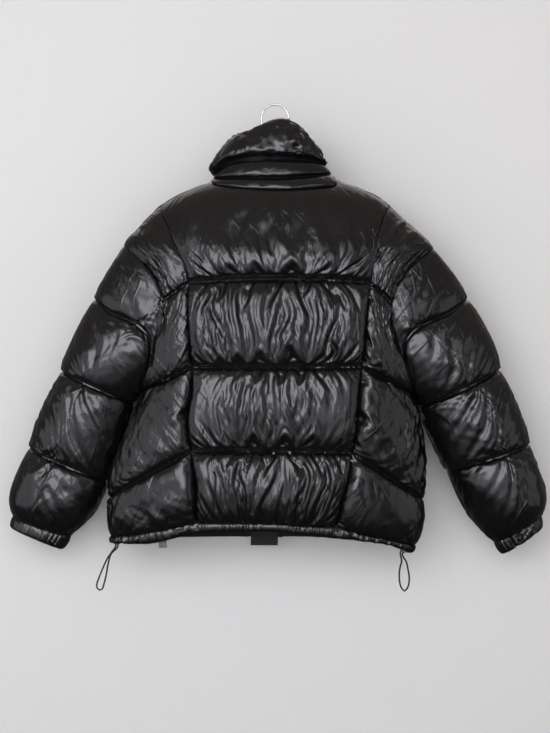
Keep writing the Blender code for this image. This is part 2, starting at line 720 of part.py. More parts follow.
def hem_back():
    last = len(ROWS) - 1
    left = panel_side_line(LEFT, last)
    right = panel_side_line(RIGHT, last)[::-1]
    top = np.concatenate([left, centre_line(last)[1:], right[1:]])
    columns = (every(2, COLUMNS_SIDE) + every(FOLD_COLUMNS, COLUMNS_CENTRE, COLUMNS_SIDE)[1:]
               + every(2, COLUMNS_SIDE, COLUMNS_SIDE + COLUMNS_CENTRE)[1:])
    return hem_piece(top, columns, 21)


def hem_front(side):
    piece = hem_piece(front_line(side, len(ROWS) - 1), every_second_to_zip(front_columns()), 22 + side)
    piece["normals"][:, -1] = zip_normal(piece["normals"][:, -1])
    return piece


# ---------------------------------------------------------------------------------- sleeves and cuffs

def sleeve_turns():
    turns = armhole_turns()
    return np.concatenate([-turns[::-1], turns[1:]])


def blunt_wave(value):
    return np.sign(value) * np.abs(value) ** SLEEVE_BLUNT


def sleeve_ring(side, row, turns):
    """A seam-level section across a sleeve."""
    size = {name: column[row] for name, column in SLEEVES[side].items()}
    outer = np.array([size["outer_x"], size["forward"], size["outer_z"]])
    inner = np.array([size["inner_x"], size["forward"], size["inner_z"]])
    turn = np.radians(turns)[:, None]
    swing = blunt_wave(np.cos(turn)) * (outer - inner) / 2
    return (outer + inner) / 2 + swing + blunt_wave(np.sin(turn)) * np.array([0, -size["depth"], 0])


def cap_line(turns):
    """How far down the sleeve its first line runs, as a share of the way to the second."""
    away = np.clip((np.abs(turns) - 40) / 75, 0, 1)
    away = away * away * (3 - 2 * away)
    return CAP_LINE_OUTER + (CAP_LINE_INNER - CAP_LINE_OUTER) * away


def blend_rings(rings, stations, levels):
    """Points between rings, at one level for each row or for each point of the grid."""
    rings = np.array(rings)
    levels = np.broadcast_to(levels, (len(levels), rings.shape[1]))
    made = np.zeros(levels.shape + (3,))
    for column in range(rings.shape[1]):
        for axis in range(3):
            made[:, column, axis] = track(stations, rings[:, column, axis])(levels[:, column])
    return made


def sleeve_points(side):
    """Seam-level points of a sleeve, from the armhole to the cuff seam."""
    turns = sleeve_turns()
    rings = [torso_point(*armhole(side, turns).T)] + [sleeve_ring(side, row, turns) for row in range(4)]
    first = cap_line(turns)
    levels = [eased(0, 1, ROWS_SLEEVE[0])[:, None] * first,
              first + eased(0, 1, ROWS_SLEEVE[1])[1:, None] * (1 - first)]
    levels += [np.tile(eased(k, k + 1, ROWS_SLEEVE[k + 1])[1:, None], len(turns)) for k in (1, 2)]
    levels = np.concatenate(levels)
    crown = 4 * levels * (1 - levels) * (levels < 1) * np.maximum(np.cos(np.radians(turns)), 0)
    outward = np.array([side * 0.87, 0, 0.49]) * SLEEVE_CROWN[side]
    return blend_rings(rings, SLEEVE_STATIONS, levels) + crown[..., None] * outward


def grid_normals(points, closed=False):
    """Normals of a tube's grid of points, facing away from the middle of each row."""
    if closed:
        across = np.roll(points, -1, axis=1) - np.roll(points, 1, axis=1)
    else:
        across = np.gradient(points, axis=1)
    normals = unit(np.cross(np.gradient(points, axis=0), across))
    facing = np.sum(normals * (points - points.mean(axis=1, keepdims=True)), axis=-1)
    return normals * np.sign(np.median(facing))


def sleeve(side):
    turns = sleeve_turns()
    points = sleeve_points(side)
    normals = grid_normals(points[:, :-1], closed=True)
    normals = np.concatenate([normals, normals[:, :1]], axis=1)
    normals[0] = armhole_normal(side, turns)
    arm = unit(points[-1].mean(axis=0) - points[-3].mean(axis=0))
    normals[-1] = unit(normals[-1] - 0.5 * np.sum(normals[-1] * arm, axis=-1, keepdims=True) * arm)
    marks = marks_from(ROWS_SLEEVE)
    turn = np.radians(turns)[None, :]
    row = np.arange(points.shape[0])[:, None]
    facing = np.abs(np.sin(turn)) ** 1.5
    cap = 0.45 + 0.55 * np.clip(row / marks[1], 0, 1)
    top = (SIDE_LOFT + (ARM_LOFT - SIDE_LOFT) * facing) * cap
    return dict(points=points, normals=normals, height=loft(points, marks, top, edge=0.008),
                rows=every(3, marks[-1]), columns=every(2, len(turns) - 1))


def cuff(side, arm):
    """A short elastic cuff, gathered all the way round."""
    turns = sleeve_turns()[:-1]
    rings = np.array([sleeve_ring(side, row, turns) for row in (3, 4)])
    fine = np.zeros((2, 2 * len(turns), 3))
    fine[:, ::2] = rings
    fine[:, 1::2] = (rings + np.roll(rings, -1, axis=1)) / 2
    share = np.linspace(0, 1, ROWS_CUFF + 1)[:, None, None]
    points = fine[:1] * (1 - share) + fine[1:] * share
    normals = grid_normals(points, closed=True)
    seam = arm["normals"][-1, :-1]
    normals[0, ::2] = seam
    normals[0, 1::2] = unit(seam + np.roll(seam, -1, axis=0))
    draw = np.random.default_rng(31 + side)
    ridge = np.where(np.arange(fine.shape[1]) % 2 == 0, 0.2, 1.0) * draw.uniform(0.6, 1.0, fine.shape[1])
    height = np.array([0.0, 1.0, 0.85, 0.5])[:, None] * ridge * CUFF_LOFT
    return dict(points=points, normals=normals, height=height, rows=[0, ROWS_CUFF],
                columns=every(4, fine.shape[1] - 4), closed=True)


# ---------------------------------------------------------------------------------- collar

def ring_size(ring):
    return {name: column[ring - 1] for name, column in COLLAR.items()}


def ring_height(ring):
    return track(COLLAR_HEIGHTS["angle"], COLLAR_HEIGHTS[("roll", "tuck", "top")[ring - 1]])


def collar_ring(ring, neck):
    """Seam-level points round one ring of the collar, above these (angle, height) points of the neck
    seam.  Ring 0 is the neck seam.  A neck point's own bearing gives its place on the other rings, and
    the zip's two edges stay on the zip's line."""
    seam = torso_point(neck[:, 0], neck[:, 1])
    if ring == 0:
        return seam
    size = ring_size(ring)
    middle, half = (size["left"] + size["right"]) / 2, (size["right"] - size["left"]) / 2
    depth = np.where(seam[:, 1] < 0, size["back"], size["front"])
    angles = np.degrees(np.arctan2((seam[:, 0] - middle) / half, -seam[:, 1] / depth))
    beside_zip = np.abs(neck[:, 0]) > ZIP_FROM
    height = ring_height(ring)(180.0)
    offset = seam[:, 0] - zip_across(neck[:, 1])
    straight = np.degrees(np.arcsin(np.clip((zip_across(height) + offset - middle) / half, -1, 1)))
    angles = np.where(beside_zip, np.sign(neck[:, 0]) * 180 - straight, angles)
    return ring_point(angles, ring_height(ring)(angles), **size, blunt=0.9)


def collar_neck():
    return np.concatenate([front_neck(LEFT)[::-1], back_neck()[1:-1], front_neck(RIGHT)])


def collar_levels():
    return np.concatenate([eased(0, 1, ROWS_COLLAR[0])]
                          + [k + eased(0, 1, ROWS_COLLAR[k])[1:] for k in (1, 2)])


def collar():
    neck = collar_neck()
    points = blend_rings([collar_ring(ring, neck) for ring in range(4)], np.arange(4), collar_levels()[:, None])
    normals = grid_normals(points)
    normals[0] = neck_normal(neck[:, 0])
    for column in (0, -1):
        normals[:, column] = zip_normal(normals[:, column])
    marks = marks_from(ROWS_COLLAR)
    top = np.zeros(points.shape[:2])
    for swell, first, last in zip(COLLAR_LOFTS, marks[:-1], marks[1:]):
        top[first:last + 1] = swell
    back = COLUMNS_CENTRE - 2 * COLUMNS_SHOULDER
    last = 2 * COLUMNS_NECK_FRONT + back
    from_zip = {COLUMNS_NECK_FRONT - column for column in every_second_to_zip(COLUMNS_NECK_FRONT)}
    columns = sorted(from_zip | {last - column for column in from_zip}
                     | set(every(FOLD_COLUMNS, back, COLUMNS_NECK_FRONT)))
    return dict(points=points, normals=normals, height=loft(points, marks, top, edge=0.016, sag=0.8),
                rows=every(2, marks[-1]), columns=columns)


# ---------------------------------------------------------------------------------- zip

def zip_strip(offset, end=None):
    """Seam-level points this far in x from the zip's middle, from the collar's top down to the hem."""
    marks = [neck_height(180.0)] + list(LINES["front"])
    neck = np.array([[zip_angle(offset, marks[0]), marks[0]]])
    rings = [collar_ring(ring, neck) for ring in range(4)]
    upper = blend_rings(rings, np.arange(4), collar_levels()[:, None])[::-1, 0]
    heights = np.concatenate([eased(first, last, steps)[1:]
                              for first, last, steps in zip(marks[:-1], marks[1:], ROWS)])
    heights = np.concatenate([heights, spaced(marks[-1], hem_height(180.0), ROWS_HEM)[1:]])
    if end is not None:
        heights = np.append(heights, end)
    return np.concatenate([upper, torso_point(zip_angle(offset, heights), heights)])


def zip_tape(side, pieces):
    name = "left" if side == LEFT else "right"
    edge = -1 if side == RIGHT else 0
    parts = [("collar", pieces["collar"]["points"][::-1, edge], pieces["collar"]["normals"][::-1, edge])]
    parts += [(piece, pieces[piece]["points"][:, -1], pieces[piece]["normals"][:, -1])
              for piece in ("front_" + name, "hem_front_" + name)]
    rim_points = np.concatenate([points if k == 0 else points[1:] for k, (_, points, _) in enumerate(parts)])
    rim_normals = np.concatenate([normals if k == 0 else normals[1:] for k, (_, _, normals) in enumerate(parts)])
    points = np.stack([rim_points, zip_strip(side * 1e-5)], axis=1)
    return dict(points=points, normals=np.stack([rim_normals, rim_normals], axis=1),
                height=np.full(points.shape[:2], -TAPE_SUNK), rows=every(1, len(points) - 1), columns=[0, 1],
                depth=TAPE_SUNK + TAPE_THICK, look=matte_cloth)


def zip_guard():
    """The flat strip behind the zip.  Its plain end hangs below the hem."""
    offsets = np.linspace(-GUARD_HALF, GUARD_HALF, 4)
    points = np.stack([zip_strip(offset, GUARD_END) for offset in offsets], axis=1)[2:]
    last = len(points) - 1
    points = points[list(range(0, last - 3, 2)) + [last - 1, last]]
    normals = np.cross(np.gradient(points, axis=0), np.gradient(points, axis=1))
    normals = zip_normal(unit(normals * np.sign(normals[..., 1:2])))
    return dict(points=points, normals=normals, height=np.full(points.shape[:2], -GUARD_SUNK),
                rows=every(1, len(points) - 1), columns=every(1, 3), depth=GUARD_SUNK + GUARD_THICK,
                look=matte_cloth)


# ---------------------------------------------------------------------------------- hard pieces and cords

def add_tube(name, path, radius, look, swell=None, closed=False, flatten=1.0):
    """A bevelled curve along a path.  swell scales the radius at each point, flatten the depth in y."""
    curve = bpy.data.curves.new(name, "CURVE")
    curve.dimensions = "3D"
    curve.bevel_depth = radius
    curve.bevel_resolution = 2
    curve.use_fill_caps = True
    curve.materials.append(look)
    spline = curve.splines.new("POLY")
    spline.points.add(len(path) - 1)
    spline.use_cyclic_u = closed
    for k, (point, place) in enumerate(zip(spline.points, path)):
        point.co = (place[0], place[1] / flatten, place[2], 1)
        point.radius = 1 if swell is None else swell[k]
    piece = bpy.data.objects.new(name, curve)
    piece.scale = (1, flatten, 1)
    collection.objects.link(piece)
    return piece


def smooth_path(points, steps):
    """A smooth curve through points, cut into equal steps."""
    points = np.array(points, float)
    length = np.concatenate([[0], np.cumsum(np.linalg.norm(np.diff(points, axis=0), axis=1))])
    slope = np.gradient(points, length, axis=0)
    where = np.linspace(0, length[-1], 12 * steps)
    k = np.clip(np.searchsorted(length, where, side="right") - 1, 0, len(length) - 2)
    step = np.diff(length)[k][:, None]
    u = (where - length[k])[:, None] / step
    fine = ((2 * u - 3) * u * u * (points[k] - points[k + 1]) + points[k]
            + ((u - 2) * u + 1) * u * step * slope[k] + (u - 1) * u * u * step * slope[k + 1])
    length = np.concatenate([[0], np.cumsum(np.linalg.norm(np.diff(fine, axis=0), axis=1))])
    even = spaced(0, length[-1], steps)
    return np.stack([np.interp(even, length, fine[:, axis]) for axis in range(3)], axis=-1)


def scratch(mesh_or_curve):
    """An object that a boolean needs for a moment."""
    piece = bpy.data.objects.new("scratch", mesh_or_curve)
    collection.objects.link(piece)
    return piece


def block(size, middle):
    """A box, in a joined piece's own axes."""
    mesh = bpy.data.meshes.new("block")
    work = bmesh.new()
    place = Matrix.Translation(middle) @ Matrix.Diagonal((*size, 1))
    bmesh.ops.create_cube(work, size=1, matrix=place)
    work.to_mesh(mesh)
    work.free()
    return scratch(mesh)


def rod(radius, length, middle, sides=16):
    """A round bar along x, in a joined piece's own axes."""
    mesh = bpy.data.meshes.new("rod")
    work = bmesh.new()
    place = Matrix.Translation(middle) @ Matrix.Rotation(math.radians(90), 4, "Y")
    bmesh.ops.create_cone(work, cap_ends=True, segments=sides, radius1=radius, radius2=radius, depth=length,
                          matrix=place)
    work.to_mesh(mesh)
    work.free()
    return scratch(mesh)


def plate(outline, thick, middle, facing):
    """A flat outline with this thickness along x or y, in a joined piece's own axes."""
    curve = bpy.data.curves.new("outline", "CURVE")
    curve.dimensions = "2D"
    curve.fill_mode = "BOTH"
    curve.extrude = thick / 2
    spline = curve.splines.new("POLY")
    spline.points.add(len(outline) - 1)
    spline.use_cyclic_u = True
    for point, place in zip(spline.points, outline):
        point.co = (*place, 0, 1)
    drawn = scratch(curve)
    mesh = bpy.data.meshes.new_from_object(drawn.evaluated_get(bpy.context.evaluated_depsgraph_get()))
    bpy.data.objects.remove(drawn, do_unlink=True)
    work = bmesh.new()
    work.from_mesh(mesh)
    bmesh.ops.remove_doubles(work, verts=work.verts, dist=1e-6)
    turn = {"x": Matrix(((0, 0, 1), (1, 0, 0), (0, 1, 0))), "y": Matrix(((1, 0, 0), (0, 0, -1), (0, 1, 0)))}
    bmesh.ops.transform(work, matrix=Matrix.Translation(middle) @ turn[facing].to_4x4(), verts=work.verts)
    work.to_mesh(mesh)
    work.free()
    return scratch(mesh)


def joined(name, pieces, cutters, place, tilt, look):
    """One solid from pieces that run into one another, less its cutters."""
    for operation, others in (("UNION", pieces[1:]), ("DIFFERENCE", cutters)):
        for other in others:
            change = pieces[0].modifiers.new(operation.lower(), "BOOLEAN")
            change.operation = operation
            change.solver = "EXACT"
            change.object = other
    graph = bpy.context.evaluated_depsgraph_get()
    mesh = bpy.data.meshes.new_from_object(pieces[0].evaluated_get(graph))
    for used in pieces + cutters:
        bpy.data.objects.remove(used, do_unlink=True)
    mesh.materials.clear()
    mesh.name = name
    mesh.shade_smooth()
    mesh.set_sharp_from_angle(angle=math.radians(35))
    made = add_object(name, mesh, look)
    made.location = place
    made.rotation_euler = (tilt, 0, 0)
    return made


def shoulder_ridge(side):
    """(x, z) points of the hanger's ridge, close below the shoulder seams."""
    name = "left" if side == LEFT else "right"
    heights = spaced(neck_height(side * 90.0), HANGER_TIP_BELOW, 5)
    return [(float(torso[name](height)), height - HANGER_CLEAR) for height in heights]


def make_hanger():
    """A plain moulded bar that carries the shoulders, and the wire hook that stands in it."""
    ridge = shoulder_ridge(LEFT)[::-1] + [(-0.060, -0.119), (0.0, HANGER_TOP), (0.060, -0.117)]
    ridge = np.array(ridge + shoulder_ridge(RIGHT))
    share = 1 - np.abs(ridge[:, 0]) / np.abs(ridge[:, 0]).max()
    half = HANGER_TIP + (HANGER_MIDDLE - HANGER_TIP) * share
    path = np.stack([ridge[:, 0], np.zeros(len(ridge)), ridge[:, 1] - half], axis=-1)
    add_tube("hanger_body", path, HANGER_MIDDLE, hanger_plastic(), swell=half / HANGER_MIDDLE,
             flatten=HANGER_FLAT)
    centre = HOOK_WIRE - HOOK_RADIUS
    turn = np.radians(np.linspace(HOOK_START, HOOK_END, 22))
    arc = np.stack([HOOK_RADIUS * np.cos(turn), 0 * turn, centre + HOOK_RADIUS * np.sin(turn)], axis=-1)
    stem = smooth_path([arc[-2], arc[-1], (-0.0050, 0, -0.0520), (0, 0, -0.0640),
                        (0, 0, HANGER_TOP + SEAM_GAP)], 14)
    tip = arc[0] + np.array([0, 0, -1])[None] * np.array([0.0044, 0.0040, 0.0028, 0.0014])[:, None]
    path = np.concatenate([tip, arc[:-1], stem[1:]])
    swell = np.ones(len(path))
    swell[:4] = (0.55, 1.0, 1.35, 1.3)
    add_tube("hanger_hook", path, HOOK_WIRE, chrome(), swell=swell)


def make_slider():
    """The zip's slider with its pin, and the pull tab that hangs from the pin."""
    strip = (zip_strip(-1e-5)[:5] + zip_strip(1e-5)[:5]) / 2
    place = np.array([np.interp(SLIDER_HEIGHT, strip[::-1, 2], strip[::-1, axis]) for axis in range(3)])
    up = unit(strip[0] - strip[3])
    tilt = math.atan2(-up[1], up[2])
    base = SEAM_GAP - TAPE_SUNK
    thick, hinge = SLIDER["thick"], SLIDER["hinge"]
    gap = SLIDER["gap"] / 2
    crown = [(base + hinge + SLIDER["ear"] * math.cos(t), SLIDER["ear"] * math.sin(t))
             for t in np.radians(np.linspace(-80, 80, 7))]
    ear = [(base + thick / 2, -SLIDER["ear"] - 0.0006)] + crown + [(base + thick / 2, SLIDER["ear"] + 0.0006)]
    pieces = [block((SLIDER["wide"], thick, SLIDER["long"]), (0, base + thick / 2, 0)),
              plate(ear, 0.001, (-gap - 0.0005, 0, 0), "x"), plate(ear, 0.001, (gap + 0.0005, 0, 0), "x"),
              rod(SLIDER["pin"] / 2, 2 * gap + 0.001, (0, base + hinge, 0), sides=12)]
    joined("zip_slider", pieces, [], place, tilt, metal())

    out = np.array([0, math.cos(tilt), math.sin(tilt)])
    pin = place + out * (base + hinge)
    knuckle = gap - SEAM_GAP
    neck, shoulder_z, foot, half = knuckle - 0.0002, -PULL["knuckle"] - 0.0006, -PULL["long"], PULL["wide"] / 2
    tab = [(-neck, 0), (-neck, shoulder_z), (-half, shoulder_z - 0.002), (-half, foot + 0.0015),
           (-half + 0.0015, foot), (half - 0.0015, foot), (half, foot + 0.0015), (half, shoulder_z - 0.002),
           (neck, shoulder_z), (neck, 0)]
    joined("zip_pull", [rod(PULL["knuckle"], 2 * knuckle, (0, 0, 0)), plate(tab, PULL["thick"], (0, 0, 0), "y")],
           [rod(PULL["bore"], 4 * knuckle, (0, 0, 0))], pin, 0.0, metal())


def make_cords():
    """The two ends of the hem's drawcord, each a loop that leaves the channel through a metal eyelet."""
    for side, name in ((LEFT, "left"), (RIGHT, "right")):
        angle = CORD_EXITS[side]
        around = np.array([angle - 3, angle, angle + 3])
        points, normals = torso_grid(np.stack([around, hem_height(around)], axis=-1))
        along = unit(points[2] - points[0])
        out = normals[1]
        down = np.cross(along, out)
        down = unit(down * -np.sign(down[2]))
        drop = points[1] - out * WALL / 2 + down * (EYELET_WIRE + EYELET_DROP[side])
        turn = np.radians(np.arange(20) * 18)[:, None]
        ring = drop + along * np.cos(turn) * EYELET["long_half"] + out * np.sin(turn) * EYELET["short_half"]
        add_tube("hem_eyelet_" + name, ring, EYELET_WIRE, metal(), closed=True)
        ends = [drop - along * CORD_APART / 2, drop + along * CORD_APART / 2]
        route = np.stack([CORDS[side][name] for name in ("across", "deep", "height")], axis=-1)
        path = np.concatenate([[ends[0], ends[0] + down * 0.003], route, [ends[1] + down * 0.003, ends[1]]])
        add_tube("cord_" + name, smooth_path(path, 34), CORD_ROUND / 2, matte_cloth())


def make_care_label():
    """A small plain woven label under the back hem."""
    at = np.array([angle_at(LABEL["across"], LABEL["high"]), LABEL["high"]])
    point, normal = torso_grid(at)
    behind = WALL + LABEL["behind"] + LABEL["thick"] / 2
    flat = unit(normal * np.array([1, 1, 0]))
    middle = point - normal * behind
    tall = LABEL["high"] - LABEL["low"]
    label = block((LABEL["wide"], LABEL["thick"], tall), (0, 0, -tall / 2))
    made = joined("care_label", [label], [], middle, 0.0, label_cloth())
    made.rotation_euler = (0, LABEL["lean"], math.atan2(flat[1], flat[0]) + math.radians(90))


# ---------------------------------------------------------------------------------- keeping pieces apart

def refined(grid, times=3):
    """The grid with extra points between its own, for measuring distances."""
    rows = np.linspace(0, grid.shape[0] - 1, times * (grid.shape[0] - 1) + 1)
    columns = np.linspace(0, grid.shape[1] - 1, times * (grid.shape[1] - 1) + 1)
    low = np.minimum(rows.astype(int), grid.shape[0] - 2)
    part_rows = (rows - low)[:, None, None]
    tall = grid[low] * (1 - part_rows) + grid[low + 1] * part_rows
    low = np.minimum(columns.astype(int), grid.shape[1] - 2)
    part_columns = (columns - low)[None, :, None]
    return tall[:, low] * (1 - part_columns) + tall[:, low + 1] * part_columns


def press_apart(piece, other):
    """Where two pieces face each other, neither swells past its own share of the space between."""
    facing = unit(refined(other["normals"])).reshape(-1, 3)
    place = refined(other["points"]).reshape(-1, 3)
    own = piece["points"].reshape(-1, 3)
    own_facing = piece["normals"].reshape(-1, 3)
    distance = np.linalg.norm(own[:, None] - place[None], axis=-1)
    distance[own_facing @ facing.T > -0.1] = 1.0
    room = np.maximum(0.40 * distance.min(axis=1) - SEAM_GAP, 0).reshape(piece["height"].shape)
    return np.minimum(piece["height"], room)


def settle(pieces, first, second):
    heights = press_apart(pieces[first], pieces[second]), press_apart(pieces[second], pieces[first])
    pieces[first]["height"], pieces[second]["height"] = heights


# ---------------------------------------------------------------------------------- build

def main():
    for old in list(bpy.data.objects):
        bpy.data.objects.remove(old, do_unlink=True)
    bpy.context.scene.collection.children.link(collection)
    pieces = {"back_center": back_centre(), "hem_back": hem_back(), "collar": collar()}
    for side, name in ((LEFT, "left"), (RIGHT, "right")):
        pieces["back_side_" + name] = back_side(side)
        pieces["front_" + name] = front(side)
        pieces["hem_front_" + name] = hem_front(side)
        pieces["sleeve_" + name] = sleeve(side)
        pieces["cuff_" + name] = cuff(side, pieces["sleeve_" + name])
        pieces["zip_tape_" + name] = zip_tape(side, pieces)
        for panel in ("back_side_", "front_", "hem_front_"):
            settle(pieces, panel + name, "sleeve_" + name)
        settle(pieces, "cuff_" + name, "sleeve_" + name)
    pieces["zip_guard"] = zip_guard()
    for name, piece in pieces.items():
        look = piece.pop("look", shell_cloth)
        add_wall(name, look=look(), **piece)
    make_hanger()
    make_slider()
    make_cords()
    make_care_label()


main()
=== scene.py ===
"""The puffer jacket on its hanger, dressed for a picture.

Metres, +Z up.  The camera looks along +Y at the jacket's back.  Angles round the body are in degrees:
0 at the middle of the back, -90 and 90 at the left and right sides, -180 and 180 at the zip.  Turns round
an armhole, a sleeve or a cuff are in degrees too: 0 on the shoulder line, 90 at the back, 180 under the
arm and -90 at the front.

Each padded piece starts as a smooth quilted form.  Its cloth is cut larger than the form, held at its
seams and quilting lines, and let go under the wadding's pressure, so that it buckles into folds.
"""

import math
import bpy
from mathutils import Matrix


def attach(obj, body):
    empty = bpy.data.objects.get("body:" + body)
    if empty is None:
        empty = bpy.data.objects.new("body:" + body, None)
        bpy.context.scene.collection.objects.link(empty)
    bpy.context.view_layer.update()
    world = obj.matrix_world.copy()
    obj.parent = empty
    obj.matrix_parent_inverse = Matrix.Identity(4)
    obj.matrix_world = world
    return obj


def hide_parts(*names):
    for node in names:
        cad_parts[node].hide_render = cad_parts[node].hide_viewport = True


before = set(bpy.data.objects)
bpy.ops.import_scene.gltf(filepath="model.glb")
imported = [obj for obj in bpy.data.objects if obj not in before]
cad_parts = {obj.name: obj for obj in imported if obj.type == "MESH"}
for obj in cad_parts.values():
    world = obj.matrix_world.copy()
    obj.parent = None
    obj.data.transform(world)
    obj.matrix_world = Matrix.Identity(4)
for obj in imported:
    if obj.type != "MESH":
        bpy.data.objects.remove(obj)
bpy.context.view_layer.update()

from concurrent.futures import ThreadPoolExecutor
from dataclasses import dataclass

import bmesh
import bpy
import numpy as np
from mathutils import Matrix, Vector

LEFT, RIGHT = -1, 1
BODY = "jacket"


def table(columns, *rows):
    """Turn rows of numbers into one array for each named column."""
    return dict(zip(columns.split(), np.array(rows, float).T))


# ---------------------------------------------------------------------------------- sizes

WALL = 0.003                 # cloth, thin wadding and lining at a seam
SEAM_GAP = 0.0003            # air between two pieces along a seam
SIDE_LOFT = 0.0040           # how far a baffle swells at the sides
FACE_LOFT = 0.017            # how far a baffle swells on the back and front
ARM_LOFT = 0.013             # the same on a sleeve
EDGE_ROUND = 0.024           # width over which a baffle rounds down to a vertical seam
LOFT_FROM = -0.160           # the height below which the body's baffles start to swell more
LOFT_FADE = 0.105            # the drop over which they reach their full swell
SHOULDER_LOFT = 0.30         # the share of it that they have on the shoulders
FAR = 1.0                    # more room than any baffle needs
ROOM_SHARE = 0.40            # how much of the space between two facing pieces each may fill
FACING_AWAY = -0.1           # above this cosine between their normals, two points don't face each other

# Seam-level sections of the body, from the neck to the hem.
TORSO = table("height left right back front blunt",
              (-0.121, -0.100, 0.096, 0.034, 0.034, 1.00),
              (-0.132, -0.110, 0.112, 0.040, 0.040, 1.00),
              (-0.144, -0.138, 0.143, 0.047, 0.046, 1.00),
              (-0.161, -0.176, 0.180, 0.055, 0.053, 1.00),
              (-0.178, -0.200, 0.200, 0.061, 0.058, 0.97),
              (-0.195, -0.218, 0.218, 0.065, 0.062, 0.93),
              (-0.212, -0.232, 0.237, 0.068, 0.065, 0.90),
              (-0.232, -0.2520, 0.2590, 0.070, 0.068, 0.86),
              (-0.246, -0.2570, 0.2680, 0.072, 0.070, 0.84),
              (-0.280, -0.2500, 0.2560, 0.074, 0.072, 0.80),
              (-0.382, -0.238, 0.240, 0.075, 0.074, 0.80),
              (-0.485, -0.227, 0.235, 0.075, 0.074, 0.80),
              (-0.535, -0.242, 0.243, 0.074, 0.074, 0.80),
              (-0.586, -0.262, 0.248, 0.073, 0.073, 0.80),
              (-0.637, -0.278, 0.251, 0.071, 0.071, 0.80),
              (-0.696, -0.281, 0.249, 0.066, 0.067, 0.80),
              (-0.730, -0.277, 0.243, 0.062, 0.063, 0.80),
              (-0.745, -0.276, 0.236, 0.061, 0.062, 0.80),
              (-0.762, -0.274, 0.225, 0.060, 0.060, 0.80))

# The neck seam dips at the back and more at the front.
NECK = table("angle height",
             (-180, -0.178), (-170, -0.177), (-153, -0.163), (-135, -0.148), (-90, -0.1297),
             (-45, -0.1409), (0, -0.1500), (40, -0.1433), (90, -0.1245), (135, -0.146), (153, -0.162),
             (170, -0.177), (180, -0.178))

# Armholes: an egg laid on the body's side.  swing is how far it reaches round the back, in degrees.
ARMHOLES = {LEFT: dict(top=-0.240, bottom=-0.485, swing=39.0),
            RIGHT: dict(top=-0.2450, bottom=-0.4887, swing=36.5)}
ARMHOLE_EGG = (0.24, 0.12)   # how much blunter it is at the top, and how much narrower at both ends
ARMHOLE_TOP = (0.75, 0.66)   # which way its seam faces at the top, outwards and up
ARMHOLE_LOW = (0.35, -0.94)  # the same under the arm
NECK_ACROSS, NECK_UP = 0.75, 0.55  # which way the neck seam faces, beside 1 to the back or front
SHOULDER_POINT = -0.1725     # where a princess seam leaves the shoulder seam
TURN_AT_LINE_1 = 76.0        # where the body's first quilting line meets the armhole
PRINCESS_POINTS = 80         # points along a princess seam, before it is cut into grid steps

# Princess seams of the back, from the shoulder seam to the hem channel.
PRINCESS = {LEFT: table("height across",
                        (-0.2082, -0.1793), (-0.2470, -0.1613), (-0.2877, -0.1457), (-0.3042, -0.1439),
                        (-0.3846, -0.1387), (-0.4429, -0.1370), (-0.5022, -0.1387), (-0.5829, -0.1387),
                        (-0.6409, -0.1296), (-0.7009, -0.1287)),
            RIGHT: table("height across",
                         (-0.2032, 0.1781), (-0.2461, 0.1687), (-0.3039, 0.1588), (-0.3745, 0.1482),
                         (-0.4445, 0.1425), (-0.5219, 0.1350), (-0.5862, 0.1275), (-0.6244, 0.1185),
                         (-0.6640, 0.1069), (-0.7088, 0.1010))}

# Heights of the quilting lines, the last one being the top seam of the hem channel.  side_left and
# side_right are where the line meets the side seam.  The first one meets the armhole instead.
NONE = math.nan
LINES = table("left middle right side_left side_right front",
              (-0.3042, -0.2983, -0.3042, NONE, NONE, -0.290),
              (-0.4445, -0.4445, -0.4437, -0.4850, -0.4887, -0.430),
              (-0.5837, -0.5829, -0.5862, -0.6655, -0.6689, -0.575),
              (-0.7009, -0.7008, -0.7088, -0.7301, -0.7437, -0.7240))

HEM_EDGE = table("angle height",
                 (-180, -0.7400), (-168, -0.7400), (-90, -0.7412), (-50, -0.7390), (-22, -0.7185),
                 (0, -0.7158), (14, -0.7215), (32, -0.7310), (53, -0.7415), (66, -0.7500),
                 (76, -0.7560), (90, -0.7573), (125, -0.7500),
                 (168, -0.7400), (180, -0.7400))

# Seam-level sections across each sleeve: outer and inner edge, half its depth, and how far its middle
# stands in front of the shoulder line.  The last row but one is the cuff seam, the last the cuff's end.
SLEEVES = {LEFT: table("outer_x outer_z inner_x inner_z depth forward",
                       (-0.3640, -0.4514, -0.2405, -0.5075, 0.056, 0.024),
                       (-0.4205, -0.5823, -0.2865, -0.6392, 0.053, 0.030),
                       (-0.4505, -0.6707, -0.3185, -0.6950, 0.045, 0.028),
                       (-0.4470, -0.6979, -0.3511, -0.7310, 0.027, 0.026),
                       (-0.4514, -0.7191, -0.3664, -0.7548, 0.027, 0.026)),
           RIGHT: table("outer_x outer_z inner_x inner_z depth forward",
                        (0.3830, -0.4488, 0.2480, -0.5143, 0.056, 0.022),
                        (0.4345, -0.5763, 0.2970, -0.6214, 0.053, 0.028),
                        (0.4590, -0.6707, 0.3383, -0.6962, 0.045, 0.028),
                        (0.4530, -0.6953, 0.3766, -0.7421, 0.027, 0.026),
                        (0.4565, -0.7191, 0.3910, -0.7633, 0.027, 0.026))}
SLEEVE_STATIONS = (0.0, 1.0, 2.0, 2.65, 3.0)  # armhole, three sections, cuff seam: whole numbers are lines
SLEEVE_BLUNT = 0.88          # below 1 the sleeve's section is squarer than an ellipse
SLEEVE_CROWN = {LEFT: 0.004, RIGHT: 0.009}  # how far the top of a sleeve arches out below the shoulder
CROWN_WAY = (0.87, 0.49)     # which way it arches, outwards and up
SLEEVE_ROUND = 0.008         # width over which a sleeve rounds down to its seam under the arm
CAP_LOFT = 0.45              # how much of its swell a sleeve has at the armhole
CAP_LINE_OUTER = 0.41        # the sleeve's first line, as a share of the way to its second line
CAP_LINE_INNER = 0.16        # the same under the arm, where it runs close beside the armhole seam
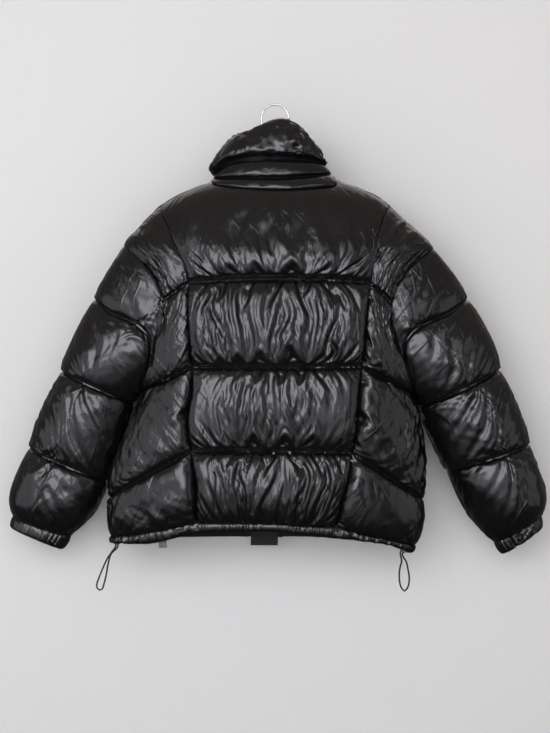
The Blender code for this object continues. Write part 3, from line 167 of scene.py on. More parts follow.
CAP_TURNS = (40, 115)        # the turns between which it changes from one to the other

# The collar's rings: top of the low roll, the tuck above the band, and the slumped top edge.
COLLAR = table("left right back front",
               (-0.1040, 0.0935, 0.046, 0.054),
               (-0.0975, 0.0820, 0.041, 0.051),
               (-0.0660, 0.0740, 0.033, 0.048))
COLLAR_HEIGHTS = table("angle roll tuck top",
                       (-180, -0.166, -0.138, -0.104), (-168, -0.166, -0.138, -0.104),
                       (-135, -0.152, -0.126, -0.086),
                       (-90, -0.1245, -0.1200, -0.0610), (-68, -0.1258, -0.1115, -0.0560),
                       (-45, -0.1275, -0.1005, -0.0520),
                       (-8, -0.1289, -0.0960, -0.0340), (6, -0.1289, -0.0965, -0.0300),
                       (24, -0.1270, -0.0965, -0.0390), (45, -0.1240, -0.0975, -0.0580),
                       (90, -0.1187, -0.1050, -0.0900), (135, -0.152, -0.124, -0.100),
                       (168, -0.166, -0.138, -0.104), (180, -0.166, -0.138, -0.104))
COLLAR_LOFTS = (0.009, 0.009, 0.015)  # how far the roll, the band and the top swell
COLLAR_ROUND = 0.016         # width over which they round down to the zip
COLLAR_BLUNT = 0.9           # below 1 the collar's rings are squarer than an ellipse

HEM_LOFT = 0.0045            # how far the hem's channel swells
HEM_ROUND = 0.006            # width over which it rounds down to its ends
HEM_FULL = 0.015             # the depth from which it swells fully
CUFF_LOFT = 0.0030

ZIP_LINE = table("height across",  # the middle of the zip, a straight line
                 (-0.104, 0.0), (-0.760, -0.0189))
ZIP_HALF = 0.012             # from the middle of the zip to the edge of a front
TAPE_SUNK = 0.0008           # from the seam level in to the tape's face
TAPE_THICK = 0.0014
ZIP_FROM = 165.0             # beyond this angle the collar's points keep to the zip's line
GUARD_HALF = 0.0238          # the flat strip behind the zip, whose end shows below the hem
GUARD_SUNK = 0.0046          # from the seam level in to the strip's face
GUARD_THICK = 0.0018
GUARD_END = -0.7554

SLIDER_HEIGHT = -0.117       # the slider's middle
SLIDER_LONG = 0.012

HOOK_RADIUS = 0.0233         # middle of the wire
HOOK_WIRE = 0.0016
HOOK_START = -2.0            # degrees from +x, where the round tip is
HOOK_END = 222.0             # where the shank starts
HANGER_TOP = -0.1020         # the top of the hanger's bar, where the hook's stem goes in

CORD_ROUND = 0.0029
CORD_APART = 0.0056          # between the two strands where they leave the hem
CORD_EXITS = {LEFT: -75.0, RIGHT: 70.5}  # angles round the body
EYELET_WIRE = 0.0009
EYELET = dict(long_half=0.0064, short_half=0.0030)
EYELET_DROP = {LEFT: 0.0004, RIGHT: 0.0010}  # air above the eyelet's wire
# Each free cord, from one end in the eyelet round to the other.
CORDS = {LEFT: table("across deep height",
                     (-0.2750, -0.0155, -0.7560), (-0.2834, -0.0160, -0.7684),
                     (-0.2907, -0.0170, -0.7846), (-0.2982, -0.0180, -0.8033), (-0.3009, -0.0185, -0.8126),
                     (-0.2998, -0.0185, -0.8179), (-0.2954, -0.0185, -0.8209), (-0.2908, -0.0190, -0.8184),
                     (-0.2891, -0.0195, -0.8126), (-0.2852, -0.0200, -0.7982), (-0.2815, -0.0205, -0.7778),
                     (-0.2765, -0.0212, -0.7600)),
         RIGHT: table("across deep height",
                      (0.2130, -0.0262, -0.7700), (0.2098, -0.0262, -0.7836),
                      (0.2090, -0.0257, -0.7955), (0.2099, -0.0252, -0.8072), (0.2134, -0.0247, -0.8172),
                      (0.2181, -0.0240, -0.8216), (0.2226, -0.0233, -0.8172), (0.2257, -0.0228, -0.8072),
                      (0.2260, -0.0223, -0.7971), (0.2243, -0.0218, -0.7869), (0.2215, -0.0215, -0.7735))}

# The care label: the heights of its ends, how far it hangs behind the hem's wall, and its lean in radians.
LABEL = dict(across=-0.1905, wide=0.0140, low=-0.7472, high=-0.7200, behind=0.0022, thick=0.0009,
             lean=-0.10)


@dataclass
class Steps:
    """Grid steps between seams and quilting lines."""
    rows: tuple              # down each baffle of the body
    centre: int              # across the centre back
    side: int                # across a back side panel
    shoulder: int            # from a princess seam to the neck
    neck_front: int          # from a shoulder seam to the zip
    turns: tuple             # round half an armhole, down to the first quilting line and below it
    sleeve: tuple            # down each baffle of a sleeve
    collar: tuple            # up each ring of the collar
    hem: int
    cuff: int

    @property
    def front(self):
        return self.side + self.shoulder + self.neck_front


# The solids' own grid, and the one that the cloth is simulated on.
PLAIN = Steps(rows=(6, 8, 6, 6), centre=40, side=8, shoulder=4, neck_front=6, turns=(6, 8),
              sleeve=(6, 6, 6, 6), collar=(2, 4, 4), hem=3, cuff=3)
FINE = Steps(rows=(36, 36, 34, 30), centre=88, side=34, shoulder=12, neck_front=20, turns=(18, 26),
             sleeve=(22, 30, 34, 30), collar=(8, 12, 18), hem=6, cuff=8)
ROW_EASE = 0.11              # how much closer rows stand beside a quilting line


# ---------------------------------------------------------------------------------- curve helpers

def unit(vectors):
    return vectors / np.maximum(np.linalg.norm(vectors, axis=-1, keepdims=True), 1e-12)


def run_length(points, axis=0):
    """How far each point lies from the first one, along a path or along each line of a grid."""
    steps = np.linalg.norm(np.diff(points, axis=axis), axis=-1)
    return np.insert(np.cumsum(steps, axis=axis), 0, 0.0, axis=axis)


def read_at(where, along, values):
    """Rows of values at these distances along a path."""
    return np.stack([np.interp(where, along, column) for column in values.T], axis=-1)


def smoothstep(part):
    return part * part * (3 - 2 * part)


def sampled(grid, rows, columns, ease=lambda part: part):
    """A grid's values at rows and columns that may lie between its own.  ease shapes the way from one of
    its own to the next."""
    for axis, at in ((0, rows), (1, columns)):
        low = np.minimum(at.astype(int), grid.shape[axis] - 2)
        part = ease(at - low).reshape((1,) * axis + (-1,) + (1,) * (grid.ndim - axis - 1))
        grid = np.take(grid, low, axis) * (1 - part) + np.take(grid, low + 1, axis) * part
    return grid


def track(stations, values):
    """A smooth curve through the values that never overshoots them."""
    order = np.argsort(stations)
    at = np.asarray(stations, float)[order]
    value = np.asarray(values, float)[order]
    step = np.diff(at)
    slope = np.diff(value) / step
    product = slope[:-1] * slope[1:]
    total = np.where(product > 0, slope[:-1] + slope[1:], 1.0)
    tangent = np.concatenate([slope[:1], np.where(product > 0, 2 * product / total, 0.0), slope[-1:]])

    def curve(where):
        where = np.clip(where, at[0], at[-1])
        k = np.clip(np.searchsorted(at, where, side="right") - 1, 0, len(step) - 1)
        u = (where - at[k]) / step[k]
        start = (2 * u - 3) * u * u + 1
        lead_out = ((u - 2) * u + 1) * u * step[k]
        lead_in = (u - 1) * u * u * step[k]
        ends = start * value[k] + (1 - start) * value[k + 1]
        return ends + lead_out * tangent[k] + lead_in * tangent[k + 1]

    return curve


def spaced(start, end, steps):
    return np.linspace(start, end, steps + 1)


def eased(start, end, steps):
    """Like spaced, but closer together at both ends, where a baffle comes down to its stitching."""
    share = spaced(0, 1, steps)
    return start + (end - start) * (share - ROW_EASE * np.sin(2 * math.pi * share))


def join_rows(grids):
    """Stack grids that share their meeting row."""
    return np.concatenate([grids[0]] + [grid[1:] for grid in grids[1:]], axis=0)


def patch(top, bottom, left, right):
    """Fill four edges of (angle, height) points with a smooth grid."""
    across = spaced(0, 1, len(top) - 1)[None, :, None]
    down = eased(0, 1, len(left) - 1)[:, None, None]
    between_rows = (1 - down) * top[None] + down * bottom[None]
    between_columns = (1 - across) * left[:, None] + across * right[:, None]
    corners = ((1 - down) * ((1 - across) * top[0] + across * top[-1])
               + down * ((1 - across) * bottom[0] + across * bottom[-1]))
    return between_rows + between_columns - corners


# ---------------------------------------------------------------------------------- the body's surface

torso = {name: track(TORSO["height"], TORSO[name]) for name in ("left", "right", "back", "front", "blunt")}
neck_height = track(NECK["angle"], NECK["height"])
hem_height = track(HEM_EDGE["angle"], HEM_EDGE["height"])
zip_across = track(ZIP_LINE["height"], ZIP_LINE["across"])


def ring_point(angle, height, left, right, back, front, blunt):
    turn = np.radians(angle)
    depth = np.where(np.cos(turn) > 0, back, front)
    across = (left + right) / 2 + (right - left) / 2 * np.sin(turn)
    along = -depth * np.sign(np.cos(turn)) * np.abs(np.cos(turn)) ** blunt
    return np.stack(np.broadcast_arrays(across, along, height), axis=-1)


def torso_point(angle, height):
    return ring_point(angle, height, **{name: size(height) for name, size in torso.items()})


def torso_normal(angle, height):
    turn, drop = 2, 0.004  # degrees and metres between the points that give the slope
    across = torso_point(angle + turn, height) - torso_point(angle - turn, height)
    down = torso_point(angle, height - drop) - torso_point(angle, height + drop)
    return unit(np.cross(down, across))


def angle_at(across, height):
    """The angle round the body of the point of the back at this x."""
    middle = (torso["left"](height) + torso["right"](height)) / 2
    half = (torso["right"](height) - torso["left"](height)) / 2
    return np.degrees(np.arcsin(np.clip((across - middle) / half, -1, 1)))


def torso_grid(cells):
    """Points and outward normals for a grid of (angle, height)."""
    return torso_point(cells[..., 0], cells[..., 1]), torso_normal(cells[..., 0], cells[..., 1])


def eased_path(cells, steps):
    """Rows of points along a path of (angle, height) points, measured on the cloth."""
    length = run_length(torso_point(*cells.T))
    return read_at(eased(0, length[-1], steps), length, cells)


def princess(side, start, end, steps):
    """A stretch of a back princess seam between two heights."""
    seam = PRINCESS[side]
    angles = np.concatenate([[side * 90.0], angle_at(seam["across"], seam["height"])])
    heights = np.concatenate([[SHOULDER_POINT], seam["height"]])
    # The angle changes fastest next to the shoulder, so the curve runs in the root of the drop.
    drop = np.sqrt(SHOULDER_POINT - heights)
    curve = track(drop, angles)
    drops = np.sqrt(SHOULDER_POINT - np.linspace(start, end, PRINCESS_POINTS).clip(max=SHOULDER_POINT))
    return eased_path(np.stack([curve(drops), SHOULDER_POINT - drops ** 2], axis=-1), steps)


def armhole(side, turns):
    """The armhole seam, as (angle, height), at these turns."""
    size = ARMHOLES[side]
    turn = np.radians(turns)
    lean = np.cos(turn)
    swing = size["swing"] * np.sin(turn) * (1 + ARMHOLE_EGG[0] * lean - ARMHOLE_EGG[1] * lean ** 2)
    height = (size["top"] + size["bottom"]) / 2 + (size["top"] - size["bottom"]) / 2 * lean
    return np.stack([side * (90 - swing), height], axis=-1)


def armhole_turns(counts):
    """Turns from the shoulder to the underarm, with one where the first quilting line meets the armhole."""
    return np.concatenate([eased(0, TURN_AT_LINE_1, counts[0]), eased(TURN_AT_LINE_1, 180, counts[1])[1:]])


def armhole_normal(side, turns):
    """Outward direction of the armhole seam, shared by the body and the sleeve."""
    turn = np.radians(turns)[..., None]
    up = np.array([side * ARMHOLE_TOP[0], 0, ARMHOLE_TOP[1]]) * np.maximum(np.cos(turn), 0) ** 2
    down = np.array([side * ARMHOLE_LOW[0], 0, ARMHOLE_LOW[1]]) * np.maximum(-np.cos(turn), 0) ** 6
    return unit(up + down + np.array([0, -1.0, 0]) * np.sin(turn))


def neck_normal(angle):
    """Outward direction of the neck seam, shared by the body and the collar."""
    turn = np.radians(angle)
    return unit(np.stack([np.sin(turn) * NECK_ACROSS, -np.cos(turn), np.full_like(turn, NECK_UP)], axis=-1))


def line_between(start, end, steps, middle=None):
    """A quilting line between two (angle, height) points, straight as seen from behind or in front."""
    angles = np.linspace(start[0], end[0], steps + 1)
    share = np.sin(np.radians(angles))
    share = (share - share[0]) / (share[-1] - share[0])
    heights = start[1] + (end[1] - start[1]) * share
    if middle is not None:
        heights = heights + (middle - (start[1] + end[1]) / 2) * 4 * share * (1 - share)
    return np.stack([angles, heights], axis=-1)


def side_seam(side, start, end, steps):
    return np.stack([np.full(steps + 1, side * 90.0), spaced(start, end, steps)], axis=-1)


def name_of(side):
    return "left" if side == LEFT else "right"


# ---------------------------------------------------------------------------------- the panels

def marks_from(counts, start=0):
    return [start + sum(counts[:k]) for k in range(len(counts) + 1)]


def quarter_round(distance, width):
    """0 at a seam, rising like a quarter circle to 1 at width."""
    return np.sqrt(1 - (1 - np.clip(distance / width, 0, 1)) ** 2)


def loft(points, marks, top, edge=EDGE_ROUND, sag=1.2, full_width=0.05):
    """Height of a quilted wall above its seam level.

    marks are the rows that carry a line of stitching.  top is the height in the middle of a baffle as
    tall as full_width or taller."""
    height = np.zeros(points.shape[:2])
    for first, last in zip(marks[:-1], marks[1:]):
        run = run_length(points[first:last + 1])
        share = (run / np.maximum(run[-1], 1e-9)) ** sag
        room = np.minimum(1, run[-1] / full_width)
        height[first:last + 1] = np.sqrt(np.clip(4 * share * (1 - share), 0, 1)) * room
    from_left = run_length(points, axis=1)
    from_right = from_left[:, -1:] - from_left
    return height * quarter_round(np.minimum(from_left, from_right), edge) * top


def body_loft(cells):
    """Largest swell of the body's baffles: full on the faces, small at the sides and on the shoulders."""
    facing = np.abs(np.cos(np.radians(cells[..., 0])))
    drop = np.clip((LOFT_FROM - cells[..., 1]) / LOFT_FADE, 0, 1)
    bearing = SHOULDER_LOFT + (1 - SHOULDER_LOFT) * drop * drop * (3 - 2 * drop)
    return (SIDE_LOFT + (FACE_LOFT - SIDE_LOFT) * facing) * bearing


def back_neck(g):
    """The neck seam from one shoulder seam to the other, across the back."""
    angles = spaced(-90.0, 90.0, g.centre - 2 * g.shoulder)
    return np.stack([angles, neck_height(angles)], axis=-1)


def shoulder(g, side):
    """The shoulder seam between the princess seam and the neck."""
    return side_seam(side, SHOULDER_POINT, neck_height(side * 90.0), g.shoulder)


def princess_point(side, line):
    return princess(side, SHOULDER_POINT, LINES[name_of(side)][line], 4)[-1]


def side_point(side, line):
    """Where a quilting line meets the armhole or the side seam."""
    if line == 0:
        return armhole(side, TURN_AT_LINE_1)
    return np.array([side * 90.0, LINES["side_" + name_of(side)][line]])


def centre_line(g, line):
    ends = (princess_point(side, line) for side in (LEFT, RIGHT))
    return line_between(*ends, g.centre, LINES["middle"][line])


def panel_side_line(g, side, line):
    """A quilting line of a back side panel, from its outer end to the princess seam."""
    return line_between(side_point(side, line), princess_point(side, line), g.side)


def princess_edge(g, side, line):
    """The princess seam beside one baffle."""
    heights = LINES[name_of(side)]
    start = SHOULDER_POINT if line == 0 else heights[line - 1]
    return princess(side, start, heights[line], g.rows[line])


def baffles(g, top, bottom, left, right):
    """A panel's grid of (angle, height).  bottom, left and right give an edge of the baffle above a line."""
    grids = []
    for line in range(len(g.rows)):
        below = bottom(line)
        grids.append(patch(top, below, left(line), right(line)))
        top = below
    return join_rows(grids)


def centre_cells(g):
    top = np.concatenate([shoulder(g, LEFT), back_neck(g)[1:], shoulder(g, RIGHT)[::-1][1:]])
    return baffles(g, top, lambda line: centre_line(g, line), lambda line: princess_edge(g, LEFT, line),
                   lambda line: princess_edge(g, RIGHT, line))


def outer_edge(g, side, line, facing):
    """A panel's outer edge beside one baffle: the armhole, then the side seam.  facing is 1 on the back."""
    if line < 2:
        turns = armhole_turns(g.rows[:2])
        first, last = (0, g.rows[0]) if line == 0 else (g.rows[0], g.rows[0] + g.rows[1])
        return armhole(side, facing * turns[first:last + 1])
    heights = eased(side_point(side, line - 1)[1], side_point(side, line)[1], g.rows[line])
    return np.stack([np.full(len(heights), side * 90.0), heights], axis=-1)


def outer_shoulder(g, side):
    """The shoulder seam between the armhole and the princess seam."""
    return side_seam(side, ARMHOLES[side]["top"], SHOULDER_POINT, g.side)


def side_cells(g, side):
    return baffles(g, outer_shoulder(g, side), lambda line: panel_side_line(g, side, line),
                   lambda line: outer_edge(g, side, line, 1), lambda line: princess_edge(g, side, line))


def zip_angle(offset, height):
    """The angle round the body of a point this far in x from the zip's middle."""
    return math.copysign(180, offset) - angle_at(zip_across(height) + offset, height)


def front_middle(side, height):
    """The front's edge beside the zip."""
    return np.array([zip_angle(side * ZIP_HALF, height), height])


def front_neck(g, side):
    """The neck seam of one front, from the shoulder seam to the zip."""
    end = front_middle(side, neck_height(180.0))
    angles = spaced(side * 90.0, end[0], g.neck_front)
    return np.stack([angles, neck_height(angles)], axis=-1)


def front_line(g, side, line):
    start = armhole(side, -TURN_AT_LINE_1) if line == 0 else side_point(side, line)
    return line_between(start, front_middle(side, LINES["front"][line]), g.front)


def front_cells(g, side):
    top = np.concatenate([outer_shoulder(g, side), shoulder(g, side)[1:], front_neck(g, side)[1:]])
    heights = [top[-1][1], *LINES["front"]]

    def zip_edge(line):
        stretch = eased(heights[line], heights[line + 1], g.rows[line])
        return np.array([front_middle(side, height) for height in stretch])

    return baffles(g, top, lambda line: front_line(g, side, line),
                   lambda line: outer_edge(g, side, line, -1), zip_edge)


def zip_normal(normals):
    """Square to the zip, so that a front's edge and the tape beside it face each other."""
    return unit(normals * np.array([0, 1.0, 1.0]))


def panel(g, cells, side=None, facing=1):
    """The wall over a grid of (angle, height).  One with a side meets that sleeve's armhole."""
    points, normals = torso_grid(cells)
    if side is not None:
        turns = facing * armhole_turns(g.rows[:2])
        normals[:len(turns), 0] = armhole_normal(side, turns)
    marks = marks_from(g.rows)
    return dict(points=points, normals=normals, marks=marks, height=loft(points, marks, body_loft(cells)))


def back_centre(g):
    piece = panel(g, centre_cells(g))
    neck = slice(g.shoulder, g.centre - g.shoulder + 1)
    piece["normals"][0, neck] = neck_normal(back_neck(g)[:, 0])
    return piece


def back_side(g, side):
    return panel(g, side_cells(g, side), side)


def front(g, side):
    cells = front_cells(g, side)
    piece = panel(g, cells, side, -1)
    normals, neck = piece["normals"], g.side + g.shoulder
    normals[0, neck:] = neck_normal(cells[0, neck:, 0])
    normals[:, -1] = zip_normal(normals[:, -1])
    return piece


def hem_piece(g, top):
    """The drawcord channel below a row of (angle, height) points."""
    bottom = np.stack([top[:, 0], hem_height(top[:, 0])], axis=-1)
    share = np.linspace(0, 1, g.hem + 1)[:, None, None]
    cells = top[None] * (1 - share) + bottom[None] * share
    if abs(top[-1, 0]) > ZIP_FROM:
        cells[:, -1, 0] = zip_angle(math.copysign(ZIP_HALF, top[-1, 0]), cells[:, -1, 1])
    points, normals = torso_grid(cells)
    height = loft(points, [0, g.hem], HEM_LOFT, edge=HEM_ROUND, sag=1.0, full_width=HEM_FULL)
    return dict(points=points, normals=normals, marks=[0, g.hem], height=height)


def hem_back(g):
    last = len(g.rows) - 1
    left = panel_side_line(g, LEFT, last)
    right = panel_side_line(g, RIGHT, last)[::-1]
    return hem_piece(g, np.concatenate([left, centre_line(g, last)[1:], right[1:]]))


def hem_front(g, side):
    piece = hem_piece(g, front_line(g, side, len(g.rows) - 1))
    piece["normals"][:, -1] = zip_normal(piece["normals"][:, -1])
    return piece


# ---------------------------------------------------------------------------------- sleeves and cuffs

def sleeve_turns(g):
    turns = armhole_turns(g.turns)
    return np.concatenate([-turns[::-1], turns[1:]])


def blunt_wave(value):
    return np.sign(value) * np.abs(value) ** SLEEVE_BLUNT


def sleeve_ring(side, row, turns):
    """A seam-level section across a sleeve."""
    size = {name: column[row] for name, column in SLEEVES[side].items()}
    outer = np.array([size["outer_x"], size["forward"], size["outer_z"]])
    inner = np.array([size["inner_x"], size["forward"], size["inner_z"]])
    turn = np.radians(turns)[:, None]
    swing = blunt_wave(np.cos(turn)) * (outer - inner) / 2
    return (outer + inner) / 2 + swing + blunt_wave(np.sin(turn)) * np.array([0, -size["depth"], 0])


def cap_line(turns):
    """How far down the sleeve its first line runs, as a share of the way to the second."""
    away = smoothstep(np.clip((np.abs(turns) - CAP_TURNS[0]) / (CAP_TURNS[1] - CAP_TURNS[0]), 0, 1))
    return CAP_LINE_OUTER + (CAP_LINE_INNER - CAP_LINE_OUTER) * away


def blend_rings(rings, stations, levels):
    """Points between rings, at one level for each row or for each point of the grid."""
    rings = np.array(rings)
    levels = np.broadcast_to(levels, (len(levels), rings.shape[1]))
    made = np.zeros(levels.shape + (3,))
    for column in range(rings.shape[1]):
        for axis in range(3):
            made[:, column, axis] = track(stations, rings[:, column, axis])(levels[:, column])
    return made


def sleeve_points(g, side):
    """Seam-level points of a sleeve, from the armhole to the cuff seam."""
    turns = sleeve_turns(g)
    rings = [torso_point(*armhole(side, turns).T)] + [sleeve_ring(side, row, turns) for row in range(4)]
    first = cap_line(turns)
    levels = [eased(0, 1, g.sleeve[0])[:, None] * first,
              first + eased(0, 1, g.sleeve[1])[1:, None] * (1 - first)]
    levels += [np.tile(eased(k, k + 1, g.sleeve[k + 1])[1:, None], len(turns)) for k in (1, 2)]
    levels = np.concatenate(levels)
    crown = 4 * levels * (1 - levels) * (levels < 1) * np.maximum(np.cos(np.radians(turns)), 0)
    outward = np.array([side * CROWN_WAY[0], 0, CROWN_WAY[1]]) * SLEEVE_CROWN[side]
    return blend_rings(rings, SLEEVE_STATIONS, levels) + crown[..., None] * outward


def grid_normals(points, closed=False):
    """Normals of a tube's grid of points, facing away from the middle of each row."""
    if closed:
        across = np.roll(points, -1, axis=1) - np.roll(points, 1, axis=1)
    else:
        across = np.gradient(points, axis=1)
    normals = unit(np.cross(np.gradient(points, axis=0), across))
    facing = np.sum(normals * (points - points.mean(axis=1, keepdims=True)), axis=-1)
    return normals * np.sign(np.median(facing))


def sleeve(g, side):
    turns = sleeve_turns(g)
    points = sleeve_points(g, side)
    normals = grid_normals(points[:, :-1], closed=True)
    normals = np.concatenate([normals, normals[:, :1]], axis=1)
    normals[0] = armhole_normal(side, turns)
    arm = unit(points[-1].mean(axis=0) - points[-3].mean(axis=0))
    # At the cuff they turn half way to square with the arm, for the cuff to start from.
    normals[-1] = unit(normals[-1] - 0.5 * np.sum(normals[-1] * arm, axis=-1, keepdims=True) * arm)
    marks = marks_from(g.sleeve)
    turn = np.radians(turns)[None, :]
    row = np.arange(points.shape[0])[:, None]
    facing = np.abs(np.sin(turn)) ** 1.5
    cap = CAP_LOFT + (1 - CAP_LOFT) * np.clip(row / marks[1], 0, 1)
    top = (SIDE_LOFT + (ARM_LOFT - SIDE_LOFT) * facing) * cap
    height = loft(points, marks, top, edge=SLEEVE_ROUND)
    return dict(points=points, normals=normals, marks=marks, height=height)


def cuff(g, side, arm):
    """A short elastic cuff."""
    turns = sleeve_turns(g)[:-1]
    rings = np.array([sleeve_ring(side, row, turns) for row in (3, 4)])
    share = np.linspace(0, 1, g.cuff + 1)[:, None, None]
    points = rings[:1] * (1 - share) + rings[1:] * share
    normals = grid_normals(points, closed=True)
    normals[0] = arm["normals"][-1, :-1]
    height = np.sqrt(np.clip(1 - (2 * share[..., 0] - 1) ** 2, 0, 1)) * CUFF_LOFT
    return dict(points=points, normals=normals, marks=[0, g.cuff], closed=True,
                height=np.broadcast_to(height, points.shape[:2]).copy())


# ---------------------------------------------------------------------------------- collar

def ring_size(ring):
    return {name: column[ring - 1] for name, column in COLLAR.items()}


def ring_height(ring):
    return track(COLLAR_HEIGHTS["angle"], COLLAR_HEIGHTS[("roll", "tuck", "top")[ring - 1]])


def collar_ring(ring, neck):
    """Seam-level points round one ring of the collar, above these (angle, height) points of the neck
    seam.  Ring 0 is the neck seam.  A neck point's own bearing gives its place on the other rings, and
    the zip's two edges stay on the zip's line."""
    seam = torso_point(neck[:, 0], neck[:, 1])
    if ring == 0:
        return seam
    size = ring_size(ring)
    middle, half = (size["left"] + size["right"]) / 2, (size["right"] - size["left"]) / 2
    depth = np.where(seam[:, 1] < 0, size["back"], size["front"])
    angles = np.degrees(np.arctan2((seam[:, 0] - middle) / half, -seam[:, 1] / depth))
    beside_zip = np.abs(neck[:, 0]) > ZIP_FROM
    height = ring_height(ring)(180.0)
    offset = seam[:, 0] - zip_across(neck[:, 1])
    straight = np.degrees(np.arcsin(np.clip((zip_across(height) + offset - middle) / half, -1, 1)))
    angles = np.where(beside_zip, np.sign(neck[:, 0]) * 180 - straight, angles)
    return ring_point(angles, ring_height(ring)(angles), **size, blunt=COLLAR_BLUNT)


def collar_neck(g):
    return np.concatenate([front_neck(g, LEFT)[::-1], back_neck(g)[1:-1], front_neck(g, RIGHT)])


def collar_levels(g):
    return np.concatenate([eased(0, 1, g.collar[0])] + [k + eased(0, 1, g.collar[k])[1:] for k in (1, 2)])


def collar(g):
    neck = collar_neck(g)
    rings = [collar_ring(ring, neck) for ring in range(4)]
    points = blend_rings(rings, np.arange(4), collar_levels(g)[:, None])
    normals = grid_normals(points)
    normals[0] = neck_normal(neck[:, 0])
    for column in (0, -1):
        normals[:, column] = zip_normal(normals[:, column])
    marks = marks_from(g.collar)
    top = np.zeros(points.shape[:2])
    for swell, first, last in zip(COLLAR_LOFTS, marks[:-1], marks[1:]):
        top[first:last + 1] = swell
    height = loft(points, marks, top, edge=COLLAR_ROUND, sag=0.8)
    return dict(points=points, normals=normals, marks=marks, height=height)


# ---------------------------------------------------------------------------------- zip

def zip_strip(g, offset, end=None):
    """Seam-level points this far in x from the zip's middle, from the collar's top down to the hem."""
    marks = [neck_height(180.0)] + list(LINES["front"])
    neck = np.array([[zip_angle(offset, marks[0]), marks[0]]])
    rings = [collar_ring(ring, neck) for ring in range(4)]
    upper = blend_rings(rings, np.arange(4), collar_levels(g)[:, None])[::-1, 0]
    heights = np.concatenate([eased(first, last, steps)[1:]
                              for first, last, steps in zip(marks[:-1], marks[1:], g.rows)])
    heights = np.concatenate([heights, spaced(marks[-1], hem_height(180.0), g.hem)[1:]])
    if end is not None:
        heights = np.append(heights, end)
    return np.concatenate([upper, torso_point(zip_angle(offset, heights), heights)])


# ---------------------------------------------------------------------------------- room between pieces

def refined(grid, times=3):
    """The grid with extra points between its own, for measuring distances."""
    rows, columns = (np.linspace(0, count - 1, times * (count - 1) + 1) for count in grid.shape[:2])
    return sampled(grid, rows, columns)


def room_beside(piece, other):
    """How far each point of a piece may swell before it passes its share of the space to the other."""
    facing = unit(refined(other["normals"])).reshape(-1, 3)
    place = refined(other["points"]).reshape(-1, 3)
    own = piece["points"].reshape(-1, 3)
    own_facing = piece["normals"].reshape(-1, 3)
    distance = np.linalg.norm(own[:, None] - place[None], axis=-1)
    distance[own_facing @ facing.T > FACING_AWAY] = FAR
    return np.maximum(ROOM_SHARE * distance.min(axis=1) - SEAM_GAP, 0).reshape(piece["height"].shape)


def resample(values, marks, fine_marks, columns):
    """A plain grid's values on the fine grid, baffle by baffle."""
    rows = [np.zeros(1)]
    for first, last, fine_first, fine_last in zip(marks[:-1], marks[1:], fine_marks[:-1], fine_marks[1:]):
        rows.append(np.linspace(first, last, fine_last - fine_first + 1)[1:])
    return sampled(values, np.concatenate(rows), np.linspace(0, values.shape[1] - 1, columns))


def all_pieces(g):
    made = {"back_center": back_centre(g), "hem_back": hem_back(g), "collar": collar(g)}
    for side in (LEFT, RIGHT):
        name = name_of(side)
        made["back_side_" + name] = back_side(g, side)
        made["front_" + name] = front(g, side)
        made["hem_front_" + name] = hem_front(g, side)
        made["sleeve_" + name] = sleeve(g, side)
        made["cuff_" + name] = cuff(g, side, made["sleeve_" + name])
    return made


def facing_rooms(plain, fine):
    """Give each fine piece the room that the solids leave it beside its neighbours."""
    for piece in fine.values():
        piece["room"] = np.full(piece["points"].shape[:2], FAR)
    for side in ("left", "right"):
        for panel_name in ("back_side_", "front_", "hem_front_", "cuff_"):
            pair = (panel_name + side, "sleeve_" + side)
            for own, other in (pair, pair[::-1]):
                room = room_beside(plain[own], plain[other])
                columns = fine[own]["points"].shape[1]
                ring = plain[own].get("closed", False)
                if ring:
                    room = np.concatenate([room, room[:, :1]], axis=1)
                room = resample(room, plain[own]["marks"], fine[own]["marks"], columns + ring)
                fine[own]["room"] = np.minimum(fine[own]["room"], room[:, :columns])


# ---------------------------------------------------------------------------------- cloth

GRAVITY = np.array([0, 0, -0.3], np.float32)
DRAG = 0.85                  # the share of its speed that the cloth keeps from step to step
STEPS = (110, 45)            # steps of settling on the coarse grid and on the fine one
NORMAL_EVERY = 5             # steps between two readings of the cloth's own normals
STITCH_SINK = 0.0012         # how far a line of stitching pulls the cloth in
PUCKER_REACH = 0.013         # how far from a quilting line the stitching holds slack back
SEAM_REACH = 0.030           # how far from an upright seam there is more length down the cloth
SEAM_MORE = 1.6              # how much more of it there is at the seam
FOLD_REACH = 0.025           # how far from a quilting line folds are shallower
LINE_TUCK_REACH = 0.024      # how far from a quilting line tucks go
SEAM_TUCK_REACH = 0.018      # the same from an upright seam
FLAT_REACH = 0.065           # how far from an upright seam the shoulders are flatter
FLAT_SHARE = 0.8             # how much of its swell a shoulder loses at that seam

# Layers of noise: share, and size in grid steps (rows, columns).
UNEVEN = ((0.9, (16, 12)), (0.5, (40, 5)))    # how unevenly slack is spread
FINE_BUMPS = ((1, (5, 4)), (0.7, (3, 2.5)))   # the bumps that the fine grid starts from
PATCHES = ((1.2, (22, 22)),)                  # where the cloth is crumpled
LINE_TUCK, SEAM_TUCK = (14, 3), (3, 12)       # size of the tucks at a quilting line and at a seam

CEILING = 0.008              # how far a full baffle's cloth may rise above its form
FULL_BAFFLE = 0.012          # the swell at which a baffle counts as full
FREE_FROM = 0.004            # the swell at which bumps and creases reach their full size
FOLD_DEPTH = 0.65            # the share of its swell that a fold may sink
SPOT_EDGE = 0.7              # how sharply a spot of slack ends


def smooth_noise(shape, scale, draw):
    """Random values that change over about this many grid steps (rows, columns), from -1 to 1."""
    sizes = tuple(max(int(np.ceil(count / step)) + 3, 4) for count, step in zip(shape, scale))
    coarse = draw.uniform(-1, 1, sizes)
    rows, columns = (np.arange(count) / step + draw.uniform(0, 1) for count, step in zip(shape, scale))
    return sampled(coarse, rows, columns, smoothstep)


